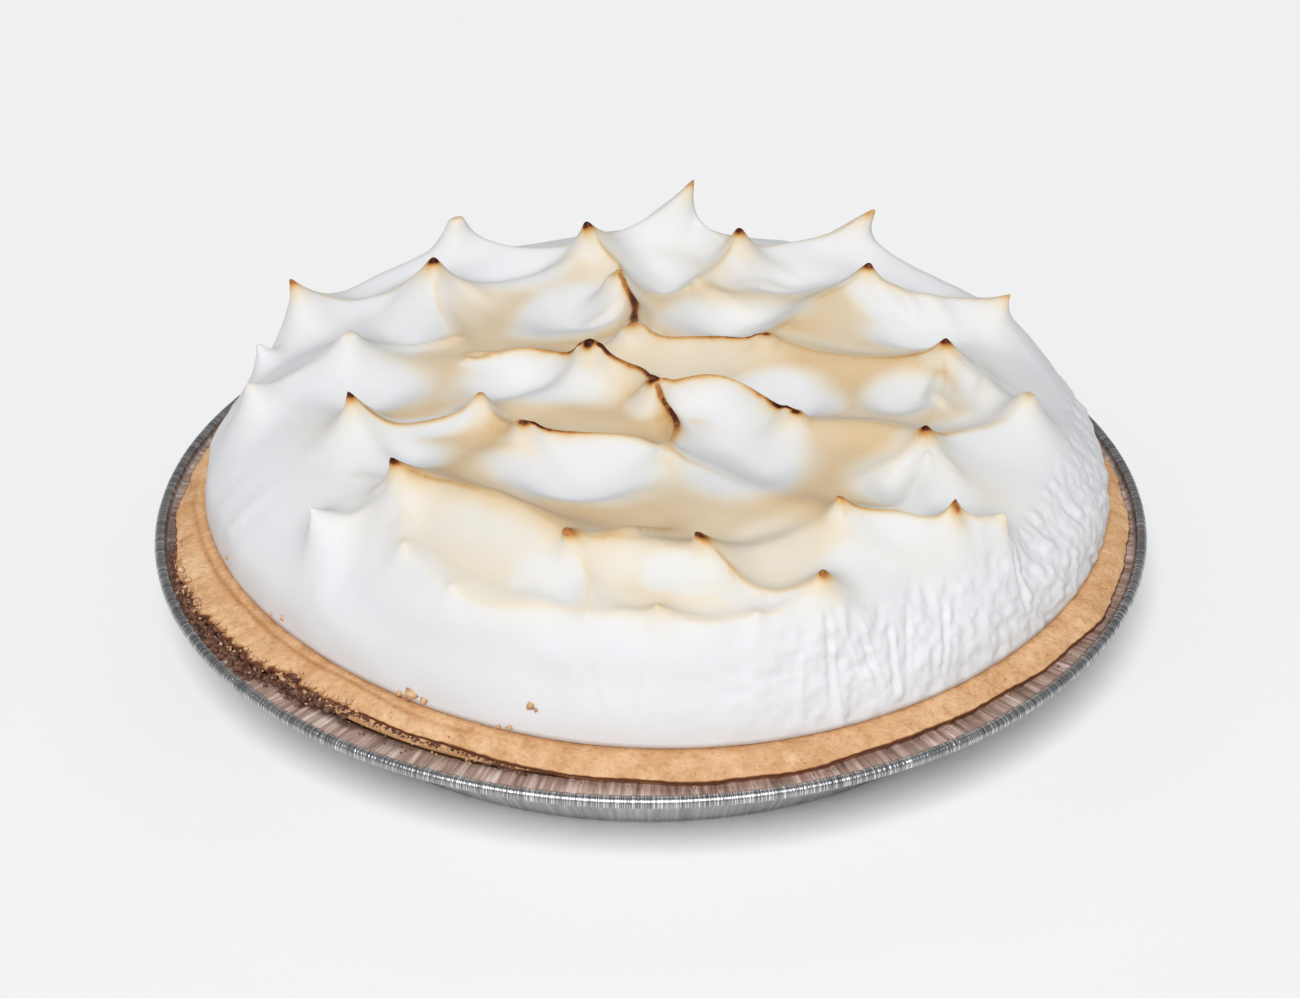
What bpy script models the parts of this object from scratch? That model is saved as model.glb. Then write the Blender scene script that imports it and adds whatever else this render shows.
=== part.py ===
"""Chocolate meringue pie, whole and uncut, in the foil tin it was baked in.

Three solids, nested with a small gap: the foil tin, the crust with the filling
that it hides, and the meringue pulled up into toasted peaks.
Metres, +Z up, origin at the middle of the tin's underside.
"""
from collections import namedtuple
from math import cos, pi, radians, sin

import bmesh
import bpy
import numpy as np

# Tin, all radii from the pie's axis
RIM_RADIUS = 0.1110
RIM_BEAD_RADIUS = 0.0011
RIM_BEAD_HEIGHT = 0.0235
BEAD_START = radians(180)
BEAD_END = radians(-110)
BEAD_POINTS = 8
BASE_RADIUS = 0.0860
BASE_CORNER = 0.0020
WALL_TOP_RADIUS = 0.1022
FLANGE_HEIGHT = 0.0227
FLANGE_OUTER_RADIUS = 0.1081
FOIL = 0.00035
TIN_STEPS = 72

# Crust, highest along the meringue's foot and sloping out over the flange
GAP = 0.0004
CRUST_RADIUS = 0.1050
CRUST_TOP = 0.0266
CRUST_FALL = 0.0022
CRUST_EDGE = 0.0006
LIP_INNER_RADIUS = 0.0950
UNDER_FOOT = 0.0012
LIP_WANDER = 0.0004
CHIPPED_AT = radians(-146)
CHIPPED_HALF_WIDTH = radians(17)
CHIPPED_DEPTH = 0.0015
CRUST_STEPS = 120
# The lip's edge every 30 degrees from +X, nearly gone at the left front
CRUST_RADII = (
    0.1068, 0.1070, 0.1066, 0.1064, 0.1066, 0.1070,
    0.1064, 0.1052, 0.0998, 0.1043, 0.1035, 0.1060,
)

# Meringue, a flat-topped dome under the peaks
MERINGUE_BASE = CRUST_TOP + 0.0003
FOOT_RADIUS = 0.0970
DOME_RISE = 0.0326
# The foot and the shoulder above it, every 45 degrees from +X
FOOT_RADII = (0.1026, 0.1025, 0.1020, 0.1030, 0.1000, 0.0932, 0.0965, 0.0982)
SHOULDER_RADII = (0.1022, 0.0970, 0.0950, 0.0940, 0.0990, 0.0922, 0.0952, 0.0958)
DOME_POWER = 11.0
RELIEF_FLOOR = 0.0060
WALL_BLEND = 0.06
RIDGE_SHARE = 0.8
BLUNT_FROM = 0.0016
BLUNT_TO = 0.0024
DRIFT = 0.0016
DRIFT_FREE = 0.0070
BLEND_POWER = 5.0
# The foam stands as a low plateau between the scoops
PLATEAU = 0.0052
PLATEAU_RADIUS = 0.0560
SCOOP_DEPTH = 0.85
# The front is squarer: its shoulder stands out between two azimuths in degrees
FRONT_EDGE = 0.0040
FRONT_EDGE_LEVEL = 0.82
FRONT_FROM = (-140, -118)
FRONT_TO = (-64, -50)
DOME_STEPS = 220
DOME_POINTS = 110
MERINGUE_TRIANGLES = 7600

Peak = namedtuple("Peak", "x y rise reach lean_x lean_y blunt")
Ridge = namedtuple("Ridge", "start end saddle front back rounding bow")
Scoop = namedtuple("Scoop", "x y half_length half_width turn")

# Each peak's tip, its rise over the valleys, how far it spreads, the way its
# tip leans, and the radius of its blunt end
PEAKS = {
    "crown": Peak(0.011, 0.066, 0.0188, 0.0072, 0.0060, 0.0005, 0.0),
    "back_right": Peak(0.053, 0.062, 0.0135, 0.0065, 0.0065, 0.0, 0.0),
    "back_left": Peak(-0.045, 0.062, 0.0130, 0.0050, 0.0008, 0.0, 0.0016),
    "north_left": Peak(-0.0145, 0.052, 0.0135, 0.0065, -0.0015, -0.0005, 0.0004),
    "north_right": Peak(0.021, 0.052, 0.0120, 0.0055, 0.0, 0.0, 0.0004),
    "swirl_low": Peak(0.009, 0.038, 0.0058, 0.0050, 0.0, 0.0, 0.0),
    "west_horn": Peak(-0.082, 0.035, 0.0137, 0.0046, -0.0030, 0.0, 0.0002),
    "west_back": Peak(-0.049, 0.035, 0.0136, 0.0085, 0.0, -0.0010, 0.0003),
    "scar_north": Peak(-0.007, 0.034, 0.0102, 0.0050, 0.0, 0.0, 0.0024),
    "east_back": Peak(0.050, 0.032, 0.0135, 0.0065, 0.0010, 0.0, 0.0003),
    "east_horn": Peak(0.082, 0.028, 0.0098, 0.0055, 0.0048, 0.0, 0.0),
    "west_tab": Peak(-0.089, 0.022, 0.0070, 0.0035, -0.0020, 0.0, 0.0003),
    "west_middle": Peak(-0.066, 0.007, 0.0111, 0.0070, 0.0, 0.0, 0.0015),
    "scar_south": Peak(-0.0035, 0.010, 0.0099, 0.0045, 0.0, 0.0, 0.0024),
    "middle_right": Peak(0.026, 0.008, 0.0087, 0.0050, 0.0010, 0.0, 0.0020),
    "east_middle": Peak(0.065, 0.002, 0.0104, 0.0060, 0.0, 0.0, 0.0),
    "heart": Peak(-0.013, -0.003, 0.0112, 0.0055, 0.0, 0.0, 0.0026),
    "heart_tail": Peak(-0.040, 0.003, 0.0062, 0.0050, 0.0, 0.0, 0.0),
    "fork": Peak(0.001, -0.015, 0.0094, 0.0050, 0.0, 0.0, 0.0024),
    "fork_foot": Peak(0.004, -0.039, 0.0069, 0.0050, 0.0, 0.0, 0.0022),
    "west_edge": Peak(-0.088, -0.003, 0.0075, 0.0055, -0.0020, 0.0, 0.0004),
    "east_edge": Peak(0.0816, -0.017, 0.0095, 0.0060, 0.0005, 0.0, 0.0012),
    "left_front": Peak(-0.064, -0.024, 0.0133, 0.0060, -0.0025, 0.0, 0.0002),
    "left_saddle": Peak(-0.036, -0.021, 0.0107, 0.0060, 0.0, 0.0, 0.0006),
    "left_inner": Peak(-0.027, -0.032, 0.0090, 0.0040, -0.0010, 0.0, 0.0022),
    "right_inner": Peak(0.031, -0.027, 0.0093, 0.0045, 0.0010, 0.0, 0.0020),
    "right_middle": Peak(0.058, -0.034, 0.0097, 0.0060, 0.0, 0.0, 0.0),
    "left_horn": Peak(-0.053, -0.052, 0.0128, 0.0070, -0.0045, 0.0, 0.0002),
    "left_low": Peak(-0.070, -0.053, 0.0105, 0.0050, -0.0025, 0.0, 0.0),
    "front_left": Peak(-0.017, -0.075, 0.0110, 0.0055, -0.0035, -0.0010, 0.0003),
    "front_middle": Peak(0.009, -0.077, 0.0115, 0.0055, -0.0035, -0.0010, 0.0003),
    "front_right": Peak(0.034, -0.081, 0.0090, 0.0050, -0.0010, -0.0005, 0.0),
    "right_front": Peak(0.038, -0.063, 0.0105, 0.0055, -0.0020, 0.0, 0.0003),
    "right_end": Peak(0.062, -0.060, 0.0130, 0.0055, 0.0, 0.0, 0.0),
    "right_tip": Peak(0.073, -0.056, 0.0106, 0.0045, 0.0020, 0.0, 0.0003),
    "inner_fold": Peak(0.058, -0.039, 0.0065, 0.0040, 0.0, 0.0, 0.0),
    "rim_west": Peak(-0.050, -0.066, 0.0065, 0.0050, 0.0, 0.0, 0.0),
    "rim_bend": Peak(-0.040, -0.078, 0.0060, 0.0050, 0.0, 0.0, 0.0),
    "rim_left": Peak(-0.0125, -0.0885, 0.0062, 0.0050, 0.0, 0.0, 0.0),
    "rim_middle": Peak(0.001, -0.089, 0.0075, 0.0045, -0.0010, 0.0, 0.0),
    "rim_right": Peak(0.021, -0.088, 0.0060, 0.0050, 0.0, 0.0, 0.0),
}

# Each ridge's two peaks, its lowest height, how far its front and back faces
# spread, the rounding of its crest, and how far it bows forwards
RIDGES = (
    Ridge("back_left", "north_left", 0.0065, 0.005, 0.007, 0.0015, 0.0),
    Ridge("north_left", "crown", 0.0090, 0.005, 0.007, 0.0015, 0.0),
    Ridge("crown", "north_right", 0.0095, 0.005, 0.006, 0.0010, -0.003),
    Ridge("north_right", "swirl_low", 0.0070, 0.005, 0.005, 0.0020, 0.0),
    Ridge("north_right", "back_right", 0.0068, 0.005, 0.007, 0.0015, 0.0),
    Ridge("west_horn", "back_left", 0.0050, 0.006, 0.007, 0.0030, 0.0),
    Ridge("back_right", "east_horn", 0.0055, 0.006, 0.007, 0.0030, -0.003),
    Ridge("west_horn", "west_back", 0.0042, 0.006, 0.006, 0.0020, 0.0),
    Ridge("west_back", "north_left", 0.0060, 0.009, 0.007, 0.0035, 0.003),
    Ridge("west_back", "heart_tail", 0.0058, 0.006, 0.006, 0.0030, 0.0),
    Ridge("north_left", "scar_north", 0.0085, 0.006, 0.006, 0.0003, -0.002),
    Ridge("scar_north", "scar_south", 0.0095, 0.005, 0.005, 0.0002, -0.002),
    Ridge("scar_south", "middle_right", 0.0104, 0.010, 0.005, 0.0003, 0.002),
    Ridge("middle_right", "east_back", 0.0095, 0.010, 0.006, 0.0040, -0.002),
    Ridge("east_back", "east_horn", 0.0090, 0.006, 0.008, 0.0020, 0.002),
    Ridge("west_edge", "west_middle", 0.0045, 0.006, 0.006, 0.0015, 0.0),
    Ridge("heart_tail", "heart", 0.0096, 0.005, 0.010, 0.0006, -0.002),
    Ridge("west_middle", "heart_tail", 0.0050, 0.008, 0.008, 0.0050, 0.0),
    Ridge("heart", "fork", 0.0112, 0.006, 0.008, 0.0002, -0.004),
    Ridge("fork", "fork_foot", 0.0085, 0.005, 0.004, 0.0002, -0.0015),
    Ridge("fork", "right_inner", 0.0128, 0.006, 0.006, 0.0002, -0.005),
    Ridge("right_inner", "right_middle", 0.0080, 0.008, 0.008, 0.0035, -0.004),
    Ridge("right_middle", "east_edge", 0.0050, 0.006, 0.006, 0.0020, 0.0),
    Ridge("middle_right", "east_middle", 0.0072, 0.009, 0.006, 0.0040, 0.002),
    Ridge("east_middle", "right_middle", 0.0045, 0.005, 0.005, 0.0020, 0.0),
    Ridge("east_middle", "east_edge", 0.0045, 0.006, 0.006, 0.0025, 0.0),
    Ridge("left_front", "left_saddle", 0.0058, 0.006, 0.005, 0.0005, 0.002),
    Ridge("left_saddle", "left_inner", 0.0078, 0.006, 0.006, 0.0010, 0.0),
    Ridge("left_saddle", "heart", 0.0055, 0.008, 0.006, 0.0030, 0.0),
    Ridge("left_inner", "fork_foot", 0.0100, 0.005, 0.008, 0.0006, -0.003),
    Ridge("fork_foot", "right_front", 0.0060, 0.009, 0.008, 0.0040, 0.0),
    Ridge("left_horn", "front_left", 0.0122, 0.006, 0.009, 0.0045, 0.0),
    Ridge("left_horn", "left_inner", 0.0050, 0.008, 0.008, 0.0040, 0.0),
    Ridge("front_left", "front_middle", 0.0104, 0.006, 0.009, 0.0030, 0.001),
    Ridge("front_left", "rim_left", 0.0070, 0.006, 0.006, 0.0012, 0.0),
    Ridge("front_middle", "front_right", 0.0050, 0.006, 0.006, 0.0008, 0.004),
    Ridge("front_middle", "right_front", 0.0055, 0.008, 0.007, 0.0030, 0.0),
    Ridge("right_front", "right_end", 0.0100, 0.006, 0.005, 0.0004, 0.0015),
    Ridge("right_end", "right_tip", 0.0115, 0.006, 0.005, 0.0004, 0.0),
    Ridge("inner_fold", "right_front", 0.0035, 0.004, 0.005, 0.0008, -0.003),
    Ridge("left_low", "left_horn", 0.0040, 0.007, 0.005, 0.0015, 0.0),
    Ridge("left_front", "left_horn", 0.0030, 0.007, 0.007, 0.0025, 0.0),
    Ridge("left_horn", "rim_west", 0.0072, 0.005, 0.007, 0.0010, 0.001),
    Ridge("rim_west", "rim_bend", 0.0060, 0.006, 0.006, 0.0010, 0.0),
    Ridge("rim_bend", "rim_left", 0.0060, 0.006, 0.006, 0.0010, 0.0),
    Ridge("rim_left", "rim_middle", 0.0060, 0.006, 0.006, 0.0010, 0.0),
    Ridge("rim_middle", "rim_right", 0.0055, 0.006, 0.006, 0.0010, 0.0),
    Ridge("rim_right", "front_right", 0.0060, 0.006, 0.006, 0.0010, 0.001),
)

# Each hollow left by the spoon: its middle, half its length and width, and its
# turn in degrees
SCOOPS = {
    "under_left_inner": Scoop(-0.014, -0.044, 0.0195, 0.0105, -12),
    "under_fork": Scoop(0.018, -0.036, 0.0150, 0.0175, 0),
    "behind_fork": Scoop(0.031, -0.010, 0.0135, 0.0100, -28),
    "under_heart": Scoop(-0.0255, -0.0065, 0.0200, 0.0095, 3),
    "under_north_left": Scoop(-0.0165, 0.0280, 0.0165, 0.0120, 50),
    "under_crown": Scoop(0.003, 0.046, 0.0105, 0.0105, 0),
    "under_north_right": Scoop(0.018, 0.025, 0.0175, 0.0110, -10),
    "under_back_right": Scoop(0.035, 0.044, 0.0170, 0.0110, 0),
    "under_east_back": Scoop(0.062, 0.017, 0.0150, 0.0085, 0),
    "east_hollow_left": Scoop(0.0545, -0.0115, 0.0092, 0.0105, 0),
    "east_hollow_right": Scoop(0.073, -0.009, 0.0075, 0.0120, 0),
    "under_right_middle": Scoop(0.056, -0.047, 0.0160, 0.0120, 2),
    "under_back_left": Scoop(-0.034, 0.047, 0.0155, 0.0100, 4),
    "under_west_back": Scoop(-0.056, 0.023, 0.0130, 0.0140, 0),
    "under_west_middle": Scoop(-0.062, -0.006, 0.0155, 0.0115, 0),
    "under_left_front": Scoop(-0.056, -0.037, 0.0140, 0.0100, 0),
    "under_left_horn": Scoop(-0.033, -0.072, 0.0210, 0.0085, -33),
    "under_front_left": Scoop(-0.001, -0.082, 0.0115, 0.0060, 0),
    "behind_front_middle": Scoop(0.026, -0.069, 0.0110, 0.0100, 0),
    "under_right_front": Scoop(0.050, -0.072, 0.0200, 0.0070, 14),
}


def clear_scene():
    for item in list(bpy.data.objects):
        bpy.data.objects.remove(item, do_unlink=True)


def new_collection(name):
    collection = bpy.data.collections.new(name)
    bpy.context.scene.collection.children.link(collection)
    return collection


def material(name, colour, roughness, metallic=0.0):
    finish = bpy.data.materials.new(name)
    finish.use_nodes = True
    shader = finish.node_tree.nodes["Principled BSDF"]
    shader.inputs["Base Color"].default_value = (*colour, 1.0)
    shader.inputs["Roughness"].default_value = roughness
    shader.inputs["Metallic"].default_value = metallic
    finish.diffuse_color = (*colour, 1.0)
    return finish


def turned(name, profile, steps):
    """A profile of (radius, height) points, turned about Z by a Screw modifier."""
    mesh = bpy.data.meshes.new(name)
    points = bmesh.new()
    line = [points.verts.new((radius, 0.0, height)) for radius, height in profile]
    for start, end in zip(line, line[1:]):
        points.edges.new((start, end))
    points.to_mesh(mesh)
    points.free()
    item = bpy.data.objects.new(name, mesh)
    screw = item.modifiers.new("Turn", "SCREW")
    screw.axis = "Z"
    screw.steps = steps
    screw.render_steps = steps
    screw.use_merge_vertices = True
    screw.merge_threshold = 0.00005
    return item


def applied(item, collection):
    """The turned shape as a plain mesh, so that its points can be moved."""
    collection.objects.link(item)
    shape = item.evaluated_get(bpy.context.evaluated_depsgraph_get())
    mesh = bpy.data.meshes.new_from_object(shape)
    item.modifiers.clear()
    item.data = mesh
    return item


def read_points(mesh):
    flat = np.empty(len(mesh.vertices) * 3, dtype=np.float32)
    mesh.vertices.foreach_get("co", flat)
    return flat.reshape(-1, 3).astype(float)


def write_points(mesh, points):
    mesh.vertices.foreach_set("co", points.astype(np.float32).ravel())
    mesh.update()


def arc(centre, radius, start, end, count):
    angles = [start + (end - start) * step / (count - 1) for step in range(count)]
    return [(centre[0] + radius * cos(a), centre[1] + radius * sin(a)) for a in angles]


def tin_profile():
    """From the rolled bead, along the flange and down the wall to the middle."""
    bead_middle = RIM_RADIUS - FOIL / 2 - RIM_BEAD_RADIUS
    middle = (bead_middle, RIM_BEAD_HEIGHT)
    bead = arc(middle, RIM_BEAD_RADIUS, BEAD_END, BEAD_START, BEAD_POINTS)
    base_height = FOIL / 2
    return bead + [
        (FLANGE_OUTER_RADIUS, FLANGE_HEIGHT),
        (WALL_TOP_RADIUS, FLANGE_HEIGHT),
        (WALL_TOP_RADIUS - 0.0009, FLANGE_HEIGHT - 0.0006),
        (BASE_RADIUS + 0.0006, BASE_CORNER + base_height),
        (BASE_RADIUS - 0.0008, base_height),
        (0.0, base_height),
    ]


def foil_tin(collection):
    tin = turned("foil_tin", tin_profile(), TIN_STEPS)
    collection.objects.link(tin)
    wall = tin.modifiers.new("Foil", "SOLIDIFY")
    wall.thickness = FOIL
    wall.offset = 0.0
    wall.use_even_offset = True
    tin.data.materials.append(material("foil", (0.62, 0.60, 0.59), 0.32, 1.0))
    return tin


def wander(angle, waves, seed):
    """An uneven line round the pie, between about -1 and 1."""
    random = np.random.default_rng(seed)
    line = np.zeros_like(angle)
    for wave in waves:
        line += np.sin(wave * angle + random.uniform(0, 2 * pi)) / len(waves) ** 0.5
    return line


def outline(angle, radii):
    """A smooth closed line through evenly spaced radii."""
    parts = np.fft.rfft(radii) / len(radii)
    line = np.full_like(angle, parts[0].real)
    for wave, part in enumerate(parts[1:], start=1):
        share = 1 if 2 * wave == len(radii) else 2
        line += share * (part * np.exp(1j * wave * angle)).real
    return line


def crust_radius(angle):
    """The lip's edge, with broken bites at the left front."""
    edge = outline(angle, CRUST_RADII)
    edge += LIP_WANDER * wander(angle, (9, 14, 23, 31), 3)
    away = (angle - CHIPPED_AT + pi) % (2 * pi) - pi
    bites = 0.5 + 0.5 * wander(angle, (19, 33, 47), 8)
    edge -= CHIPPED_DEPTH * bites * np.exp(-(away / CHIPPED_HALF_WIDTH) ** 4)
    limit = FLANGE_OUTER_RADIUS - FOIL - GAP
    return np.minimum(edge, limit)


def crust_profile():
    """Filling and crust as one body: top, sloping lip, then inside the tin."""
    lip_low = FLANGE_HEIGHT + FOIL / 2 + GAP
    width = CRUST_RADIUS - LIP_INNER_RADIUS
    slope = [(0.15, 0.0), (0.4, 0.16), (0.65, 0.45), (0.85, 0.75), (1.0, 1.0)]
    lip = [(LIP_INNER_RADIUS + width * out, CRUST_TOP - CRUST_FALL * down) for out, down in slope]
    inset = FOIL + GAP
    return [(0.0, CRUST_TOP), (LIP_INNER_RADIUS, CRUST_TOP)] + lip + [
        (CRUST_RADIUS, lip_low + CRUST_EDGE),
        (CRUST_RADIUS - CRUST_EDGE, lip_low),
        (WALL_TOP_RADIUS - 0.0006, lip_low),
        (WALL_TOP_RADIUS - 0.0016, lip_low - 0.0009),
        (BASE_RADIUS - inset, BASE_CORNER + inset + 0.0002),
        (BASE_RADIUS - 0.0014 - inset, FOIL + GAP),
        (0.0, FOIL + GAP),
    ]


def crust(collection):
    """The lip is stretched between the meringue's foot and the crust's own edge."""
    body = applied(turned("crust", crust_profile(), CRUST_STEPS), collection)
    points = read_points(body.data)
    radius = np.hypot(points[:, 0], points[:, 1])
    angle = np.arctan2(points[:, 1], points[:, 0])
    out = (radius - LIP_INNER_RADIUS) / (CRUST_RADIUS - LIP_INNER_RADIUS)
    is_wall = (points[:, 2] < CRUST_TOP - CRUST_FALL) & (radius < WALL_TOP_RADIUS)
    on_lip = (out > -0.01) & ~is_wall
    inner = outline(angle, FOOT_RADII) - UNDER_FOOT
    stretched = inner + (crust_radius(angle) - inner) * out
    scale = np.where(on_lip, stretched / np.maximum(radius, BASE_CORNER), 1)
    points[:, :2] *= scale[:, None]
    open_lip = on_lip & (out > 0.2) & (out < 0.9)
    uneven = 0.0002 * (1 + wander(angle, (7, 13, 22, 37), 5))
    points[:, 2] -= np.where(open_lip, uneven, 0)
    write_points(body.data, points)
    body.data.materials.append(material("crumb_crust", (0.56, 0.34, 0.17), 0.85))
    return body


def soften(distance, radius):
    return np.sqrt(distance * distance + radius * radius) - radius


def peak_root(peak):
    return peak.x - peak.lean_x, peak.y - peak.lean_y


def peak_height(peak, x, y):
    root_x, root_y = peak_root(peak)
    distance = np.hypot(x - root_x, y - root_y)
    outside = soften(np.maximum(distance - peak.blunt, 0), 0.0003)
    return peak.rise * np.exp(-outside / peak.reach)


def crest_end(peak):
    """A crest meets a horn below its tip, and a blunt peak at its full height."""
    blunt = smooth_step(peak.blunt, BLUNT_FROM, BLUNT_TO)
    return peak.rise * (RIDGE_SHARE + (1 - RIDGE_SHARE) * blunt)


def ridge_height(ridge, x, y):
    """A crest that hangs like a chain between two peaks, with concave faces."""
    start, end = PEAKS[ridge.start], PEAKS[ridge.end]
    start_x, start_y = peak_root(start)
    end_x, end_y = peak_root(end)
    length = np.hypot(end_x - start_x, end_y - start_y)
    along_x, along_y = (end_x - start_x) / length, (end_y - start_y) / length
    share = ((x - start_x) * along_x + (y - start_y) * along_y) / length
    inside = np.clip(share, 0, 1)
    side = (y - start_y) * along_x - (x - start_x) * along_y
    side = side + ridge.bow * np.sin(pi * inside)
    is_back = side * np.sign(along_x) > 0
    width = np.where(is_back, ridge.back, ridge.front)
    away = np.hypot(side, (share - inside) * length)
    fall_start = np.exp(-4.6 * inside)
    fall_end = np.exp(-4.6 * (1 - inside))
    crest = ridge.saddle
    crest = crest + (crest_end(start) - ridge.saddle) * fall_start
    crest = crest + (crest_end(end) - ridge.saddle) * fall_end
    return np.maximum(crest, 0) * np.exp(-soften(away, ridge.rounding) / width)


def drift(x, y):
    """A slow sideways wander that bends the ridges but leaves the peaks in place."""
    nearest = np.full_like(x, 1.0)
    for peak in PEAKS.values():
        root_x, root_y = peak_root(peak)
        nearest = np.minimum(nearest, np.hypot(x - root_x, y - root_y))
    free = DRIFT * (1 - np.exp(-(nearest / DRIFT_FREE) ** 2))
    drift_x = free * np.sin(110 * y + 70 * x + 1.0)
    drift_y = free * np.sin(130 * x - 50 * y + 2.0)
    return x + drift_x, y + drift_y


def smooth_step(value, low, high):
    share = np.clip((value - low) / (high - low), 0, 1)
    return share * share * (3 - 2 * share)


def scoop_share(scoop, x, y):
    """1 at the bottom of a scoop, 0 outside it."""
    along_x, along_y = cos(radians(scoop.turn)), sin(radians(scoop.turn))
    along = ((x - scoop.x) * along_x + (y - scoop.y) * along_y) / scoop.half_length
    across = ((y - scoop.y) * along_x - (x - scoop.x) * along_y) / scoop.half_width
    return smooth_step(1 - np.hypot(along, across), 0, 1)


def plateau(x, y):
    """The foam between the scoops, lower towards the side."""
    height = PLATEAU * (1 - smooth_step(np.hypot(x, y), PLATEAU_RADIUS, FOOT_RADIUS))
    for scoop in SCOOPS.values():
        height = height * (1 - SCOOP_DEPTH * scoop_share(scoop, x, y))
    return height


def relief(x, y):
    """Height over the valleys, as a smooth maximum of plateau, peaks and ridges."""
    bent_x, bent_y = drift(x, y)
    total = plateau(bent_x, bent_y) ** BLEND_POWER
    total = total + sum(peak_height(peak, x, y) ** BLEND_POWER for peak in PEAKS.values())
    total = total + sum(ridge_height(r, bent_x, bent_y) ** BLEND_POWER for r in RIDGES)
    return total ** (1 / BLEND_POWER)


def pull(x, y):
    """How far the tips are drawn sideways."""
    pull_x, pull_y = np.zeros_like(x), np.zeros_like(y)
    for peak in PEAKS.values():
        root_x, root_y = peak_root(peak)
        distance = np.hypot(x - root_x, y - root_y)
        weight = np.exp(-(distance / (0.55 * peak.reach)) ** 1.3)
        pull_x += peak.lean_x * weight
        pull_y += peak.lean_y * weight
    return pull_x, pull_y


def dome_profile():
    """From the top down the outer side to the foot, then in along the base."""
    rise_angles = [pi / 2 * step / (DOME_POINTS - 1) for step in range(DOME_POINTS)]
    even = np.linspace(0, 1, DOME_POINTS)
    radius = np.sin(rise_angles) ** (2 / DOME_POWER) * FOOT_RADIUS
    height = np.cos(rise_angles) * DOME_RISE
    length = np.concatenate([[0], np.cumsum(np.hypot(np.diff(radius), np.diff(height)))])
    radius = np.interp(even * length[-1], length, radius)
    height = np.interp(even * length[-1], length, height)
    dome = list(zip(radius, height + MERINGUE_BASE))
    return dome + [(FOOT_RADIUS * 0.5, MERINGUE_BASE), (0.0, MERINGUE_BASE)]


def front_edge(angle, level):
    """How far the shoulder stands out at the front."""
    azimuth = np.degrees(angle)
    share = smooth_step(azimuth, *FRONT_FROM) * (1 - smooth_step(azimuth, *FRONT_TO))
    return FRONT_EDGE * share * np.exp(-((level - FRONT_EDGE_LEVEL) / 0.25) ** 2)


def sculpt(points):
    """Moves the plain dome's points out to its foot and up into peaks."""
    radius = np.hypot(points[:, 0], points[:, 1])
    angle = np.arctan2(points[:, 1], points[:, 0])
    share = radius / FOOT_RADIUS
    level = (points[:, 2] - MERINGUE_BASE) / DOME_RISE
    foot, shoulder = outline(angle, FOOT_RADII), outline(angle, SHOULDER_RADII)
    wide = shoulder + (foot - shoulder) * (1 - np.clip(level, 0, 1)) ** 2
    outer = smooth_step(radius, 0.75 * FOOT_RADIUS, 0.92 * FOOT_RADIUS)
    wide = wide + outer * front_edge(angle, np.clip(level, 0, 1))
    points[:, :2] *= (wide / FOOT_RADIUS)[:, None]
    x, y = points[:, 0].copy(), points[:, 1].copy()
    fade = 1 - np.clip((share - 1 + WALL_BLEND) / WALL_BLEND, 0, 1) ** 2
    fade *= np.clip(level * 2.5, 0, 1)
    pull_x, pull_y = pull(x, y)
    points[:, 0] += pull_x * fade
    points[:, 1] += pull_y * fade
    points[:, 2] += (relief(x, y) - RELIEF_FLOOR) * fade
    return points


def meringue(collection):
    body = applied(turned("meringue", dome_profile(), DOME_STEPS), collection)
    write_points(body.data, sculpt(read_points(body.data)))
    triangles = sum(len(face.vertices) - 2 for face in body.data.polygons)
    fewer = body.modifiers.new("Fewer", "DECIMATE")
    fewer.ratio = MERINGUE_TRIANGLES / triangles
    body.data.materials.append(material("meringue", (0.90, 0.87, 0.82), 0.55))
    return body


def shade_round(item, angle):
    item.data.shade_smooth()
    item.data.set_sharp_from_angle(angle=angle)


def build():
    clear_scene()
    pie = new_collection("chocolate_meringue_pie")
    shade_round(foil_tin(pie), radians(40))
    shade_round(crust(pie), radians(50))
    shade_round(meringue(pie), radians(60))


build()
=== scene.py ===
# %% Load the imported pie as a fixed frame
from collections import namedtuple
from itertools import product
from math import cos, pi, radians, sin

import bmesh
import bpy
import numpy as np
from mathutils import Euler, Matrix, Vector
from mathutils.bvhtree import BVHTree


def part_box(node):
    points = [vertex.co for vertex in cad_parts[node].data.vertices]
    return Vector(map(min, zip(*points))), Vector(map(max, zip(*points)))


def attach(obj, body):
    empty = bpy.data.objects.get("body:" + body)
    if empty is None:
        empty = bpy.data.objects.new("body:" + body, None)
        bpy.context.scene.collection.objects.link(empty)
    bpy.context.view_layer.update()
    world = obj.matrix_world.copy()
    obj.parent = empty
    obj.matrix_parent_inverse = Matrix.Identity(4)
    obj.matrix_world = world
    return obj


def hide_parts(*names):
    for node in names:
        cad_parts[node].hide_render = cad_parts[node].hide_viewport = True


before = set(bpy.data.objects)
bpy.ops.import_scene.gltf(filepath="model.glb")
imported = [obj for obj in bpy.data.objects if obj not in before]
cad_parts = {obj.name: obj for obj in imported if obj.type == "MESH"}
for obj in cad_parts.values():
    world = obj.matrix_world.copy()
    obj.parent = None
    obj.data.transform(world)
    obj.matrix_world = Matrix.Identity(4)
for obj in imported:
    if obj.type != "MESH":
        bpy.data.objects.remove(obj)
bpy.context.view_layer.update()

TIN_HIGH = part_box("foil_tin")[1]
CRUST_LOW, CRUST_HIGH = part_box("crust")
MERINGUE_LOW, MERINGUE_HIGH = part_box("meringue")
RIM_RADIUS = TIN_HIGH[0]
MM = 0.001
print("tin rim", round(RIM_RADIUS, 4), "crust top", round(CRUST_HIGH[2], 4))

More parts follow.
